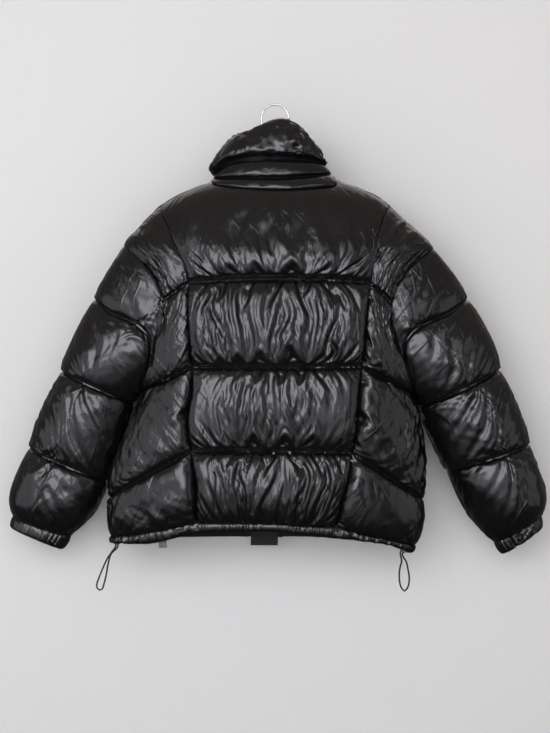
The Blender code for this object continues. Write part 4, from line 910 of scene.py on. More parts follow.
def layered(shape, layers, draw, start=0.0):
    """Layers of smooth noise, each with its share and its size in grid steps, added to a start."""
    for share, scale in layers:
        start = start + share * smooth_noise(shape, scale, draw)
    return start


def slanted_noise(shape, size, slant, draw):
    """Random values from -1 to 1 in patches size[0] grid steps long and size[1] wide, turned by slant
    degrees from down the grid towards its last column."""
    tall, wide = shape[0] + 2 * size[0], shape[1] + 2 * size[0]
    down, along = np.fft.fftfreq(tall)[:, None], np.fft.fftfreq(wide)[None]
    turn = math.radians(slant)
    lengthwise = down * math.cos(turn) + along * math.sin(turn)
    crosswise = along * math.cos(turn) - down * math.sin(turn)
    keep = np.exp(-4 * ((lengthwise * size[0]) ** 2 + (crosswise * size[1]) ** 2))
    values = np.fft.ifft2(np.fft.fft2(draw.normal(size=(tall, wide))) * keep).real[:shape[0], :shape[1]]
    return np.clip(values / (2 * values.std()), -1, 1)


def facets(shape, size, slant, draw):
    """Sharp valleys one way and sharp ridges the other, between smooth facets, from -1 to 1."""
    valleys = slanted_noise(shape, size, slant, draw)
    ridges = slanted_noise(shape, size, -0.6 * slant, draw)
    return np.abs(valleys) - np.abs(ridges)


def single(values):
    return np.asarray(values, np.float32)


def surface_normals(x, closed):
    across = np.roll(x, -1, 1) - np.roll(x, 1, 1) if closed else np.gradient(x, axis=1)
    return np.cross(np.gradient(x, axis=0), across)


class Cloth:
    """A grid of cloth points, held where it is stitched.

    Constraints are lengths along rows, along columns and along both diagonals, and lengths across two
    and four steps that keep folds from creasing too sharply."""

    def __init__(self, piece, start, rest, held, crush, bend):
        self.closed = piece.get("closed", False)
        self.x = single(start)
        self.base, self.normals = single(piece["points"]), single(piece["normals"])
        self.free = single(~held)
        self.crush, self.bend = crush, bend
        self.passes = self.make_passes(single(rest))

    def make_passes(self, rest):
        """(slices of first points, slices of second points, rest lengths, whether the pair only keeps a
        fold open, and both points' shares of a move).  No two pairs of one pass share a point."""
        rows, columns = self.free.shape
        along, down, fall, rise = rest
        whole = slice(None)
        passes = []

        def add(first, second, length, opens):
            weight = np.maximum(self.free[first] + self.free[second], 1)
            shares = (self.free[first] / weight, self.free[second] / weight)
            passes.append((first, second, length, opens, *shares))

        def every(start, count, span):
            return slice(start, count - span, 2 * span), slice(start + span, count, 2 * span)

        for start in (0, 1):
            a, b = every(start, columns, 1)
            add((whole, a), (whole, b), along[:, :-1][:, a], False)
            a, b = every(start, rows, 1)
            add((a, whole), (b, whole), down[:-1][a], False)
            for start_across in (0, 1):
                left, right = every(start_across, columns, 1)
                add((a, left), (b, right), fall[:-1, :-1][a][:, left], False)
                add((a, right), (b, left), rise[:-1, :-1][a][:, left], False)
        if self.closed:
            add((whole, slice(columns - 1, columns)), (whole, slice(0, 1)), along[:, -1:], False)
        for span in (2, 4):
            long_row = sum(along[:, k:columns - span + k] for k in range(span))
            long_column = sum(down[k:rows - span + k] for k in range(span))
            for start in range(2 * span):
                if start < columns - span:
                    a, b = every(start, columns, span)
                    add((whole, a), (whole, b), long_row[:, a], True)
                if start < rows - span:
                    a, b = every(start, rows, span)
                    add((a, whole), (b, whole), long_column[a], True)
        return passes

    def project(self):
        """Move every pair of points towards its length."""
        x = self.x
        for first, second, length, opens, share_a, share_b in self.passes:
            gap = x[second] - x[first]
            now = np.sqrt(np.einsum("ijk,ijk->ij", gap, gap)) + 1e-9
            error = (now - length) / now
            short = self.bend if opens else self.crush
            error = np.where(error < 0, error * short, error * (0.0 if opens else 1.0))
            x[first] += gap * (error * share_a)[..., None]
            x[second] -= gap * (error * share_b)[..., None]

    def keep_outside(self, floor, ceiling):
        height = np.einsum("ijk,ijk->ij", self.x - self.base, self.normals)
        fixed = np.clip(height, floor, ceiling)
        self.x += self.normals * ((fixed - height) * self.free)[..., None]


def held_points(piece):
    """Stitched points: the quilting lines and, but for a closed ring, the two upright seams."""
    held = np.zeros(piece["points"].shape[:2], bool)
    held[list(piece["marks"])] = True
    if not piece.get("closed"):
        held[:, 0] = held[:, -1] = True
    return held


def near_line(piece, reach):
    """1 on a quilting line, falling to 0 this many metres from it, measured down the cloth."""
    down = run_length(piece["points"])
    gap = np.min([np.abs(down - down[mark]) for mark in piece["marks"]], axis=0)
    return np.clip(1 - gap / reach, 0, 1)


def near_seam(piece, reach):
    """1 on an upright seam, falling to 0 this many metres from it."""
    along = run_length(piece["points"], axis=1)
    return np.clip(1 - np.minimum(along, along[:, -1:] - along) / reach, 0, 1)


def mean_drop(piece):
    """How far down the cloth each row lies, on the average of its columns."""
    steps = np.linalg.norm(np.diff(piece["points"], axis=0), axis=-1).mean(axis=1)
    return np.concatenate([[0], np.cumsum(steps)])


def between_steps(values, closed=False):
    """The grid with one more point in each step, on a smooth curve through its neighbours."""
    for axis, ring in ((0, False), (1, closed)):
        grid = np.moveaxis(values, axis, 0)
        if ring:
            padded = np.concatenate([grid[-1:], grid, grid[:2]])
        else:
            padded = np.concatenate([2 * grid[:1] - grid[1:2], grid, 2 * grid[-1:] - grid[-2:-1]])
        middle = (9 * (padded[1:-2] + padded[2:-1]) - (padded[:-3] + padded[3:])) / 16
        finer = np.zeros((len(grid) + len(middle),) + grid.shape[1:])
        finer[0::2], finer[1::2] = grid, middle
        values = np.moveaxis(finer, 0, axis)
    return values


def sagged(piece, power, box):
    """The same piece with its baffles' fullest lines further down, and boxier ones for a box below 1.

    power and box are one number each, or one for each baffle from the top."""
    down = mean_drop(piece)
    marks = sorted(set(piece["marks"]) | {0, len(down) - 1})
    height = piece["height"].copy()
    powers, boxes = np.broadcast_to(power, len(marks) - 1), np.broadcast_to(box, len(marks) - 1)
    for first, last, lower, boxy in zip(marks[:-1], marks[1:], powers, boxes):
        part = (down[first:last + 1] - down[first]) / (down[last] - down[first])
        for column in range(height.shape[1]):
            full = piece["height"][first:last + 1, column]
            height[first:last + 1, column] = np.interp(part ** lower, part, full)
        peak = np.maximum(height[first:last + 1].max(axis=0), 1e-6)
        height[first:last + 1] = peak * (height[first:last + 1] / peak) ** boxy
    return dict(piece, height=np.minimum(height, piece["room"]))


def flat_shoulders(piece):
    """How much of the swell is left beside the upright seams above the first quilting line."""
    first = min(mark for mark in piece["marks"] if mark > 0)
    part = np.clip(np.arange(piece["points"].shape[0]) / first, 0, 1)[:, None]
    flat = np.clip(1.25 - part ** 2, 0, 1) * near_seam(piece, FLAT_REACH)
    return np.where(part < 1, 1 - FLAT_SHARE * flat, 1.0)


def finer_piece(piece):
    """The same piece on a grid of half the step."""
    closed = piece.get("closed", False)
    finer = {"points": between_steps(piece["points"], closed), "closed": closed,
             "normals": unit(between_steps(piece["normals"], closed)),
             "marks": [2 * mark for mark in piece["marks"]]}
    for key in ("height", "room"):
        finer[key] = np.maximum(between_steps(piece[key][..., None], closed)[..., 0], 0)
    return finer


def spot_slack(piece, spots, kind):
    """Slack added at each point of a grid by a table of soft-edged spots."""
    down = mean_drop(piece)[:, None]
    down = down / down[-1]
    along = np.linspace(0, 1, piece["points"].shape[1])[None]
    total = np.zeros(piece["points"].shape[:2])
    columns = (spots[key] for key in ("along", "down", "wide", "tall", kind))
    for at_along, at_down, wide, tall, more in zip(*columns):
        off = ((along - at_along) / wide) ** 2 + ((down - at_down) / tall) ** 2
        total += more * np.exp(-SPOT_EDGE * off)
    return total


def cut_lengths(form, closed, more, more_down, skew):
    """Lengths of the cut cloth between grid points: across, down and along both diagonals."""
    next_column = form[:, :1] if closed else form[:, -1:] * 2 - form[:, -2:-1]
    ahead = np.concatenate([form[:, 1:], next_column], axis=1)
    below = np.concatenate([form[1:], form[-1:] * 2 - form[-2:-1]])
    across = (ahead - form) * (1 + more)[..., None]
    down = (below - form) * (1 + more_down)[..., None]
    fall = np.linalg.norm(across + down, axis=-1) * (1 + skew)
    rise = np.linalg.norm(across - down, axis=-1) * (1 - skew)
    return np.linalg.norm(across, axis=-1), np.linalg.norm(down, axis=-1), fall, rise


def settle(cloth, form_height, floor, ceiling, steps, push, firm):
    """Let the cloth move: filling presses out, weight pulls down, and the filling is firm."""
    speed = np.zeros_like(cloth.x)
    target = single(form_height)
    facing = np.sign(np.median(np.sum(surface_normals(cloth.x, cloth.closed) * cloth.normals, axis=-1)))
    for step in range(steps):
        if step % NORMAL_EVERY == 0:
            out = surface_normals(cloth.x, cloth.closed) * facing
            out = out / (np.linalg.norm(out, axis=-1, keepdims=True) + 1e-12)
        before = cloth.x.copy()
        speed = (speed * DRAG + out * push + GRAVITY * push) * cloth.free[..., None]
        cloth.x += speed
        height = np.einsum("ijk,ijk->ij", cloth.x - cloth.base, cloth.normals)
        cloth.x += cloth.normals * ((target - height) * firm * cloth.free)[..., None]
        cloth.project()
        cloth.keep_outside(floor, ceiling)
        speed = cloth.x - before
    return cloth.x.astype(float)


def cut_slack(piece, draw, slack, slack_down, pucker, ramp, spots):
    """Length added across and down at each point, and the share of it that the ramp leaves."""
    shape = piece["points"].shape[:2]
    uneven = layered(shape, UNEVEN, draw, start=1.0)
    share = np.ones(shape) if ramp is None else np.broadcast_to(ramp(piece), shape)
    held_back = 1 - (1 - pucker) * near_line(piece, PUCKER_REACH)
    more = slack * np.maximum(uneven, 0.10) * held_back * share
    more_down = slack_down * (1 + SEAM_MORE * near_seam(piece, SEAM_REACH)) * np.maximum(uneven, 0.2)
    if spots is not None:
        more = np.maximum(more + spot_slack(piece, spots, "across_more"), 0)
        more_down = np.maximum(more_down + spot_slack(piece, spots, "down_more"), 0)
    return more, more_down, share


def let_go(piece, start, slacks, skew, crush, bend, steps, push, firm):
    """The cloth, cut with these slacks, once it has settled from its start."""
    more, more_down, share = slacks
    rest = cut_lengths(form_of(piece), piece.get("closed", False), more, more_down, skew)
    cloth = Cloth(piece, start, rest, held_points(piece), crush, bend)
    top = piece["height"] + CEILING * np.clip(piece["height"] / FULL_BAFFLE, 0.2, 1)
    ceiling = single(np.minimum(top, piece["room"]))
    depth = FOLD_DEPTH * share * (1 - 0.6 * near_line(piece, FOLD_REACH))
    floor = single(np.minimum(piece["height"] * (1 - depth), piece["room"] * 0.5) - STITCH_SINK)
    return settle(cloth, piece["height"], floor, ceiling, steps, push, firm)


def form_of(piece):
    return piece["points"] + piece["normals"] * piece["height"][..., None]


def raised(piece, points, lift):
    """Points moved out of the cloth by lift, but not where it is stitched."""
    full = np.clip(piece["height"] / FREE_FROM, 0, 1) * ~held_points(piece)
    return points + piece["normals"] * lift(full)[..., None]


def simulate(piece, slack=0.10, slack_down=0.03, skew=0.0, push=0.00003, crush=0.5, bend=0.03,
             firm=0.02, rough=0.0020, fine=0.0012, crumple=0.045, seed=1, ramp=None, spots=None,
             width=2.6, tall=22, sag=1.12, box=0.7, flat=None, pucker=0.3, crease=0.0011,
             crease_size=(30, 9), slant=20, tuck=0.0):
    """Cut the cloth larger than its form, hold it at its stitching, and let it settle, first on a coarse
    grid and then on one of half the step.

    slack and slack_down are the shares of length added from side to side and down the piece, crumple what
    is added in patches on the fine grid, and pucker how much slack is left at the stitching.  ramp and
    spots place it.  skew cuts the cloth on the slant, which makes slanted folds.  rough and fine are the
    heights of the bumps that the two levels start from, width and tall the size of the rough ones in grid
    steps.  push is the filling's pressure and firm how hard it holds its form; crush and bend are how hard
    the cloth resists being shortened and being folded.  sag, box and flat shape the form.  Last come sharp
    creases of height crease, size crease_size and direction slant, and tucks of depth tuck at the seams."""
    draw = np.random.default_rng(seed)
    steps, fine_steps = STEPS
    piece = sagged(piece, sag, box)
    if flat is not None:
        piece["height"] = piece["height"] * flat(piece)
    shape = piece["points"].shape[:2]
    more, more_down, share = cut_slack(piece, draw, slack, slack_down, pucker, ramp, spots)
    folds = ((1, (tall, width)), (0.7, (tall / 3, 1.3 * width)), (0.5, (3, 2.2)))
    bumps = layered(shape, folds, draw)
    start = raised(piece, form_of(piece), lambda full: bumps * full * rough)
    settled = let_go(piece, start, (more, more_down, share), skew, crush, bend, steps, push, firm)

    piece = finer_piece(piece)
    shape = piece["points"].shape[:2]
    more, more_down, share = (between_steps(grid[..., None], piece["closed"])[..., 0]
                              for grid in (more, more_down, share))
    bumps = layered(shape, FINE_BUMPS, draw)
    patches = np.clip(layered(shape, PATCHES, draw, start=0.55), 0, 1.3) * share
    bumps, more, more_down = bumps * patches, more + crumple * patches, more_down + crumple * patches
    start = raised(piece, between_steps(settled, piece["closed"]), lambda full: bumps * full * fine)
    inner = [mark for mark in piece["marks"] if 0 < mark < shape[0] - 1]
    start[inner] -= piece["normals"][inner] * STITCH_SINK
    settled = let_go(piece, start, (more, more_down, share), skew, crush, bend * 0.5, fine_steps, push,
                     firm)

    small = [size // 2 for size in crease_size]
    sharp = facets(shape, crease_size, slant, draw) + 0.5 * facets(shape, small, -slant, draw)
    tucks = (np.abs(slanted_noise(shape, LINE_TUCK, 0.3 * slant, draw)) * near_line(piece, LINE_TUCK_REACH)
             + np.abs(slanted_noise(shape, SEAM_TUCK, 0, draw)) * near_seam(piece, SEAM_TUCK_REACH))
    lift = crease * sharp * (0.25 * share + patches) - tuck * tucks * share
    return piece, raised(piece, settled, lambda full: lift * full)


# ---------------------------------------------------------------------------------- meshes

def seam_shift(points, normals, closed):
    """How far each edge point draws back from the seam, so that two pieces keep SEAM_GAP between them."""
    shift = np.zeros_like(points)
    last_row, last_column = points.shape[0] - 1, points.shape[1] - 1
    if closed:
        loops = [[(row, c) for c in range(last_column + 1)] for row in (0, last_row)]
    else:
        loops = [[(0, c) for c in range(last_column)] + [(r, last_column) for r in range(last_row)]
                 + [(last_row, c) for c in range(last_column, 0, -1)]
                 + [(r, 0) for r in range(last_row, 0, -1)]]
    for loop in loops:
        rows, columns = np.array(loop).T
        edge = points[rows, columns]
        normal = normals[rows, columns]
        before = unit(np.cross(edge - np.roll(edge, 1, axis=0), normal))
        after = unit(np.cross(np.roll(edge, -1, axis=0) - edge, normal))
        inner = points[np.clip(rows, 1, last_row - 1) if last_row > 1 else last_row - rows,
                       columns if closed else np.clip(columns, 1, max(last_column - 1, 1))]
        sign = np.sign(np.sum((inner - edge) * (before + after)))
        mitre = 1 + np.sum(before * after, axis=-1, keepdims=True)
        move = (before + after) / np.maximum(mitre, 0.25)
        shift[rows, columns] = sign * move * SEAM_GAP / 2
    return shift


def rim(outer, inner, kept):
    """Triangles between a fine edge of the outside and a coarser edge of the inside."""
    faces = []
    for k in range(len(kept) - 1):
        first, last = kept[k], kept[k + 1]
        halfway = (first + last) // 2
        for c in range(first, last):
            faces.append((outer[c], outer[c + 1], inner[k] if c < halfway else inner[k + 1]))
        faces.append((inner[k], outer[halfway], inner[k + 1]))
    return faces


def kept_lines(count, step, marks=()):
    """Every so many grid lines, the last one, and the lines that carry stitching."""
    return sorted(set(range(0, count, step)) | {count - 1} | set(marks))


def put(name, data):
    """A new object in the scene."""
    made = bpy.data.objects.new(name, data)
    bpy.context.scene.collection.objects.link(made)
    return made


def add_mesh(name, points, faces, look, uv=None, sharp=70):
    """One closed mesh, with its faces turned out."""
    mesh = bpy.data.meshes.new(name)
    mesh.from_pydata(points.tolist(), [], faces)
    if uv is not None:
        layer = mesh.uv_layers.new(name="cloth")
        corners = np.zeros(len(mesh.loops), np.int32)
        mesh.loops.foreach_get("vertex_index", corners)
        layer.data.foreach_set("uv", uv[corners].astype(np.float32).ravel())
    work = bmesh.new()
    work.from_mesh(mesh)
    bmesh.ops.recalc_face_normals(work, faces=work.faces)
    if work.calc_volume(signed=True) < 0:
        bmesh.ops.reverse_faces(work, faces=work.faces)
    work.to_mesh(mesh)
    work.free()
    mesh.shade_smooth()
    mesh.set_sharp_from_angle(angle=math.radians(sharp))
    mesh.materials.append(look)
    return put(name, mesh)


def cloth_uv(points):
    """How far each point lies along and down the cloth, in metres."""
    along = run_length(points, axis=1)
    along = along - along[:, along.shape[1] // 2][:, None]
    return np.stack([along, -run_length(points)], axis=-1)


def crease_lines(mesh, marks, columns, count):
    """Mark the grid's stitched lines as sharp edges."""
    ends, sharp = np.zeros(2 * len(mesh.edges), np.int32), np.zeros(len(mesh.edges), bool)
    mesh.edges.foreach_get("vertices", ends)
    mesh.edges.foreach_get("use_edge_sharp", sharp)
    ends = ends.reshape(-1, 2)
    rows = ends // columns
    stitched = (ends.max(axis=1) < count) & (rows[:, 0] == rows[:, 1]) & np.isin(rows[:, 0], marks)
    mesh.edges.foreach_set("use_edge_sharp", sharp | stitched)


def wall_mesh(name, piece, outside, look, depth=WALL, coarse=6, lining=None):
    """A cloth wall between a fine outside and a plain inside, which may have a look of its own."""
    closed = piece.get("closed", False)
    points, normals, marks = piece["points"], piece["normals"], piece["marks"]
    shift = seam_shift(points, normals, closed)
    outside = outside + shift
    rows = kept_lines(points.shape[0], coarse, marks)
    columns = kept_lines(points.shape[1], coarse) if not closed else list(range(0, points.shape[1], coarse))
    inside = (points + shift - normals * depth)[np.ix_(rows, columns)]
    uv = cloth_uv(points)
    outer = np.arange(outside[..., 0].size).reshape(outside.shape[:2])
    inner = np.arange(inside[..., 0].size).reshape(inside.shape[:2]) + outer.size
    kept_columns = list(columns)
    if closed:
        kept_columns = kept_columns + [outer.shape[1]]
        outer = np.concatenate([outer, outer[:, :1]], axis=1)
        inner = np.concatenate([inner, inner[:, :1]], axis=1)
    faces = []
    for grid in (outer, inner[:, ::-1]):
        corners = [grid[:-1, :-1], grid[1:, :-1], grid[1:, 1:], grid[:-1, 1:]]
        faces += np.stack(corners, axis=-1).reshape(-1, 4).tolist()
    faces += rim(outer[0].tolist(), inner[0].tolist(), kept_columns)
    faces += rim(outer[-1].tolist(), inner[-1].tolist(), kept_columns)
    if not closed:
        faces += rim(outer[:, 0].tolist(), inner[:, 0].tolist(), rows)
        faces += rim(outer[:, -1].tolist(), inner[:, -1].tolist(), rows)
    places = np.concatenate([outside.reshape(-1, 3), inside.reshape(-1, 3)])
    flat = np.concatenate([uv.reshape(-1, 2), uv[np.ix_(rows, columns)].reshape(-1, 2)])
    made = add_mesh(name, places, faces, look, uv=flat)
    crease_lines(made.data, marks, outside.shape[1], outside[..., 0].size)
    if lining is not None:
        made.data.materials.append(lining)
        for face in made.data.polygons:
            if all(corner >= outside[..., 0].size for corner in face.vertices):
                face.material_index = 1
    return made


# ---------------------------------------------------------------------------------- materials

def set_stops(elements, stops):
    """Fill a colour ramp with (place, colour) stops."""
    while len(elements) < len(stops):
        elements.new(0.5)
    for element, (place, colour) in zip(elements, stops):
        element.position = place
        element.color = (*colour, 1.0)


def shaded(colour, share):
    return tuple(share * value for value in colour)


class Nodes:
    """Short names for wiring a material."""

    def __init__(self, name):
        self.made = bpy.data.materials.new(name)
        self.made.use_nodes = True
        self.tree = self.made.node_tree
        self.shader = self.tree.nodes["Principled BSDF"]

    def add(self, kind, **settings):
        node = self.tree.nodes.new(kind)
        for key, value in settings.items():
            if key in node.inputs:
                node.inputs[key].default_value = value
            else:
                setattr(node, key, value)
        return node

    def link(self, source, target):
        self.tree.links.new(source, target)

    def set(self, **values):
        for key, value in values.items():
            self.shader.inputs[key.replace("_", " ")].default_value = value

    def coords(self, kind="Object"):
        if kind == "cloth":
            return self.add("ShaderNodeUVMap", uv_map="cloth").outputs["UV"]
        return self.add("ShaderNodeTexCoord").outputs[kind]

    def noise(self, coords, scale, detail=3.0, rough=0.55, stretch=None):
        if stretch is not None:
            mapping = self.add("ShaderNodeMapping")
            mapping.inputs["Scale"].default_value = stretch
            self.link(coords, mapping.inputs["Vector"])
            coords = mapping.outputs["Vector"]
        node = self.add("ShaderNodeTexNoise", Scale=scale, Detail=detail, Roughness=rough)
        self.link(coords, node.inputs["Vector"])
        return node.outputs["Fac"]

    def slanted(self, coords, slant, stretch):
        """Coordinates drawn out along a line that leans this many degrees clockwise, seen from the back."""
        mapping = self.add("ShaderNodeMapping", vector_type="TEXTURE")
        mapping.inputs["Rotation"].default_value = (0.0, math.radians(slant), 0.0)
        mapping.inputs["Scale"].default_value = (1.0, 1.0, stretch)
        self.link(coords, mapping.inputs["Vector"])
        return mapping.outputs["Vector"]

    def ridges(self, coords, scale, detail=1.0, rough=0.45, sharp=0.06):
        """1 along winding lines, falling to 0 beside them: the sharp creases of a thin stiff cloth."""
        node = self.add("ShaderNodeMath", operation="SUBTRACT")
        self.link(self.noise(coords, scale, detail, rough), node.inputs[0])
        node.inputs[1].default_value = 0.5
        size = self.add("ShaderNodeMath", operation="ABSOLUTE")
        self.link(node.outputs["Value"], size.inputs[0])
        away = self.add("ShaderNodeMapRange", interpolation_type="SMOOTHSTEP")
        away.inputs["From Max"].default_value = sharp
        away.inputs["To Min"].default_value = 1.0
        away.inputs["To Max"].default_value = 0.0
        self.link(size.outputs["Value"], away.inputs["Value"])
        return away.outputs["Result"]

    def times(self, first, second):
        node = self.add("ShaderNodeMath", operation="MULTIPLY")
        self.link(first, node.inputs[0])
        self.link(second, node.inputs[1])
        return node.outputs["Value"]

    def ramp(self, source, stops):
        node = self.add("ShaderNodeValToRGB")
        set_stops(node.color_ramp.elements, stops)
        self.link(source, node.inputs["Fac"])
        return node.outputs["Color"]

    def paint(self, source, *stops):
        """Colour the surface by (place, colour) stops along a 0 to 1 value."""
        self.link(self.ramp(source, stops), self.shader.inputs["Base Color"])

    def span(self, source, low, high, into):
        """Spread a 0 to 1 value over low to high."""
        node = self.add("ShaderNodeMapRange")
        node.inputs["To Min"].default_value = low
        node.inputs["To Max"].default_value = high
        self.link(source, node.inputs["Value"])
        self.link(node.outputs["Result"], into)

    def span_of(self, source, low, high):
        """0 below low, 1 above high."""
        node = self.add("ShaderNodeMapRange", interpolation_type="SMOOTHSTEP")
        node.inputs["From Min"].default_value = low
        node.inputs["From Max"].default_value = high
        self.link(source, node.inputs["Value"])
        return node.outputs["Result"]

    def bands(self, coords, direction, scale):
        node = self.add("ShaderNodeTexWave", wave_type="BANDS", bands_direction=direction, Scale=scale)
        self.link(coords, node.inputs["Vector"])
        return node.outputs["Fac"]

    def bump(self, source, distance, strength, under=None):
        node = self.add("ShaderNodeBump", Strength=strength, Distance=distance)
        self.link(source, node.inputs["Height"])
        if under is not None:
            self.link(under, node.inputs["Normal"])
        return node.outputs["Normal"]

    def emboss(self, source, distance, strength, under=None):
        """The last and finest bump, on the surface itself."""
        self.link(self.bump(source, distance, strength, under), self.shader.inputs["Normal"])


WEAVE_SCALE = 480.0


def nylon(name, creases):
    """Glossy black nylon: broad waves, sharp creases, small crinkles and a fine plain weave.

    creases lists (slant in degrees, scale, how much longer than wide, height)."""
    m = Nodes(name)
    place, cloth = m.coords(), m.coords("cloth")
    m.paint(m.noise(place, 26.0, 4.0, 0.6),
            (0.30, (0.0022, 0.0021, 0.0024)), (0.72, (0.0045, 0.0042, 0.0048)))
    m.span(m.noise(place, 60.0, 3.0), 0.15, 0.26, m.shader.inputs["Roughness"])
    m.set(Specular_IOR_Level=0.5)
    under = m.bump(m.noise(place, 40.0, 3.0, 0.5, stretch=(1.0, 1.0, 0.5)), 0.0010, 0.6)
    crumpled = m.noise(m.slanted(place, creases[0][0], 2.6), 120.0, 2.0, 0.55)
    patches = m.span_of(m.noise(place, 13.0, 2.0), 0.46, 0.66)
    under = m.bump(m.times(crumpled, patches), 0.0016, 0.9, under)
    for k, (slant, scale, stretch, high) in enumerate(creases):
        mask = m.span_of(m.noise(place, 9.0 + 2.3 * k, 1.0), 0.44, 0.60)
        lines = m.ridges(m.slanted(place, slant, stretch), scale)
        under = m.bump(m.times(lines, mask), high, 0.8, under)
    under = m.bump(m.noise(place, 420.0, 2.0, 0.5), 0.00008, 0.3, under)
    weave = m.times(m.bands(cloth, "X", WEAVE_SCALE), m.bands(cloth, "Y", WEAVE_SCALE))
    m.emboss(weave, 0.00002, 0.3, under)
    return m.made


def webbing(name, colour, rough=0.7, sheen=0.15):
    """A matte ribbed tape."""
    m = Nodes(name)
    cloth = m.coords("cloth")
    m.paint(m.noise(m.coords(), 300.0, 2.0), (0.35, shaded(colour, 0.75)), (0.7, colour))
    m.set(Roughness=rough, Specular_IOR_Level=0.35, Sheen_Weight=sheen, Sheen_Roughness=0.5)
    m.emboss(m.bands(cloth, "Y", 300.0), 0.00012, 0.6)
    return m.made


def plain_metal(name, colour, rough, wear=0.08, scale=180.0):
    m = Nodes(name)
    noise = m.noise(m.coords(), scale, 4.0, 0.6)
    m.paint(noise, (0.3, shaded(colour, 0.8)), (0.7, colour))
    m.span(noise, rough - wear / 2, rough + wear / 2, m.shader.inputs["Roughness"])
    m.set(Metallic=1.0)
    m.emboss(m.noise(m.coords(), scale * 4, 2.0), 0.00002, 0.3)
    return m.made


def clear_plastic(name):
    m = Nodes(name)
    m.paint(m.noise(m.coords(), 40.0), (0.3, (0.52, 0.53, 0.55)), (0.7, (0.62, 0.63, 0.65)))
    m.set(Roughness=0.18, Specular_IOR_Level=0.5)
    m.emboss(m.noise(m.coords(), 500.0), 0.00003, 0.3)
    return m.made


# ---------------------------------------------------------------------------------- the stage

FRAME_TALL = 733             # the picture's height in pixels
FRAME_SCALE = 0.0017         # metres of the jacket's back for one of the picture's pixels
SENSOR_WIDE = 36.0           # millimetres
CAMERA_AWAY = 2.4
CAMERA_HEIGHT = -0.4437
AIM = (0.0, 0.0, -0.42)      # the jacket's middle, where all lights point

WALL_AT = 0.118              # how far the wall is behind the shoulder line
WALL_HALF = 5
WALL_TOP = 3
WALL_SHADE_FROM, WALL_SHADE_TO = -1.15, 0.15  # painted shade: the wall's colour pales from the first height to the second, standing in for light that falls off downwards
FLOOR_AT = -1.5
FLOOR_HALF = 12

DAYLIGHT = (0.93, 0.935, 1.0)
# Area lights: place, width, height, watts and colour.
LIGHTS = {"window": ((-0.35, -2.85, -0.20), 4.8, 2.1, 41.0, DAYLIGHT),
          "window_top": ((-0.35, -2.85, 1.12), 4.8, 0.6, 13.0, DAYLIGHT),
          "window_middle": ((-0.50, -2.75, 0.10), 2.3, 1.1, 39.0, DAYLIGHT),
          "left_wall": ((-3.3, -1.5, -0.35), 2.6, 2.2, 18.0, DAYLIGHT),
          "right_wall": ((3.3, -1.5, -0.35), 2.6, 2.2, 12.0, DAYLIGHT),
          "floor_bounce": ((-0.35, -2.2, -1.42), 4.4, 1.0, 5.0, DAYLIGHT),
          "front_fill": ((0.0, 2.6, 2.6), 6.0, 3.6, 48.0, (1, 1, 1))}

# Light from all round, from straight down to straight up.
ROOM_LIGHT = ((0.0, (0.02, 0.02, 0.021)), (0.5, (0.12, 0.118, 0.115)), (1.0, (0.40, 0.345, 0.315)))


def make_camera():
    data = bpy.data.cameras.new("camera")
    data.sensor_width = SENSOR_WIDE
    data.lens = SENSOR_WIDE * CAMERA_AWAY / (FRAME_TALL * FRAME_SCALE)
    camera = put("camera", data)
    camera.location = (0.0, -CAMERA_AWAY, CAMERA_HEIGHT)
    camera.rotation_euler = (math.radians(90), 0, 0)
    bpy.context.scene.camera = camera


def flat_face(name, corners, look):
    """One rectangle.  Its front is the side from which its corners run anticlockwise."""
    mesh = bpy.data.meshes.new(name)
    mesh.from_pydata(corners, [], [(0, 1, 2, 3)])
    mesh.materials.append(look)
    return put(name, mesh)


def make_wall():
    """A pale wall close behind the jacket.  It is seen from its front only, and neither shades nor mirrors,
    so the jacket's own front can be looked at from behind it."""
    m = Nodes("pale_wall")
    height = m.add("ShaderNodeSeparateXYZ")
    m.link(m.coords(), height.inputs["Vector"])
    # Painted shade: the wall's colour darkens towards the floor, standing in for light that falls off
    # downwards; the noise adds random tone.
    shade_and_tone = m.add("ShaderNodeMath", operation="ADD")
    m.link(m.span_of(height.outputs["Z"], WALL_SHADE_FROM, WALL_SHADE_TO), shade_and_tone.inputs[0])
    m.span(m.noise(m.coords(), 3.0), -0.06, 0.06, shade_and_tone.inputs[1])
    m.paint(shade_and_tone.outputs["Value"], (0.0, (0.603, 0.605, 0.592)), (1.0, (0.660, 0.658, 0.632)))
    m.set(Roughness=0.9, Specular_IOR_Level=0.2)
    clear = m.add("ShaderNodeBsdfTransparent")
    mix = m.add("ShaderNodeMixShader")
    m.link(m.add("ShaderNodeNewGeometry").outputs["Backfacing"], mix.inputs["Fac"])
    m.link(m.shader.outputs["BSDF"], mix.inputs[1])
    m.link(clear.outputs["BSDF"], mix.inputs[2])
    m.link(mix.outputs["Shader"], m.tree.nodes["Material Output"].inputs["Surface"])
    corners = ((-WALL_HALF, FLOOR_AT), (WALL_HALF, FLOOR_AT), (WALL_HALF, WALL_TOP), (-WALL_HALF, WALL_TOP))
    wall = flat_face("wall", [(across, WALL_AT, height) for across, height in corners], m.made)
    wall.visible_shadow = wall.visible_glossy = wall.visible_diffuse = wall.visible_transmission = False
    return wall


def make_floor():
    m = Nodes("pale_floor")
    m.paint(m.noise(m.coords(), 2.0), (0.3, (0.60, 0.59, 0.58)), (0.7, (0.64, 0.63, 0.62)))
    m.set(Roughness=0.8)
    corners = ((-1, -1), (1, -1), (1, 1), (-1, 1))
    floor = flat_face("floor", [(x * FLOOR_HALF, y * FLOOR_HALF, FLOOR_AT) for x, y in corners], m.made)
    floor.visible_glossy = False
    return floor


def make_lights():
    for name, (place, width, height, watts, colour) in LIGHTS.items():
        data = bpy.data.lights.new(name, "AREA")
        data.shape = "RECTANGLE"
        data.size, data.size_y, data.energy, data.color = width, height, watts, colour
        light = put(name, data)
        light.location = place
        light.rotation_euler = (Vector(AIM) - Vector(place)).to_track_quat("-Z", "Y").to_euler()


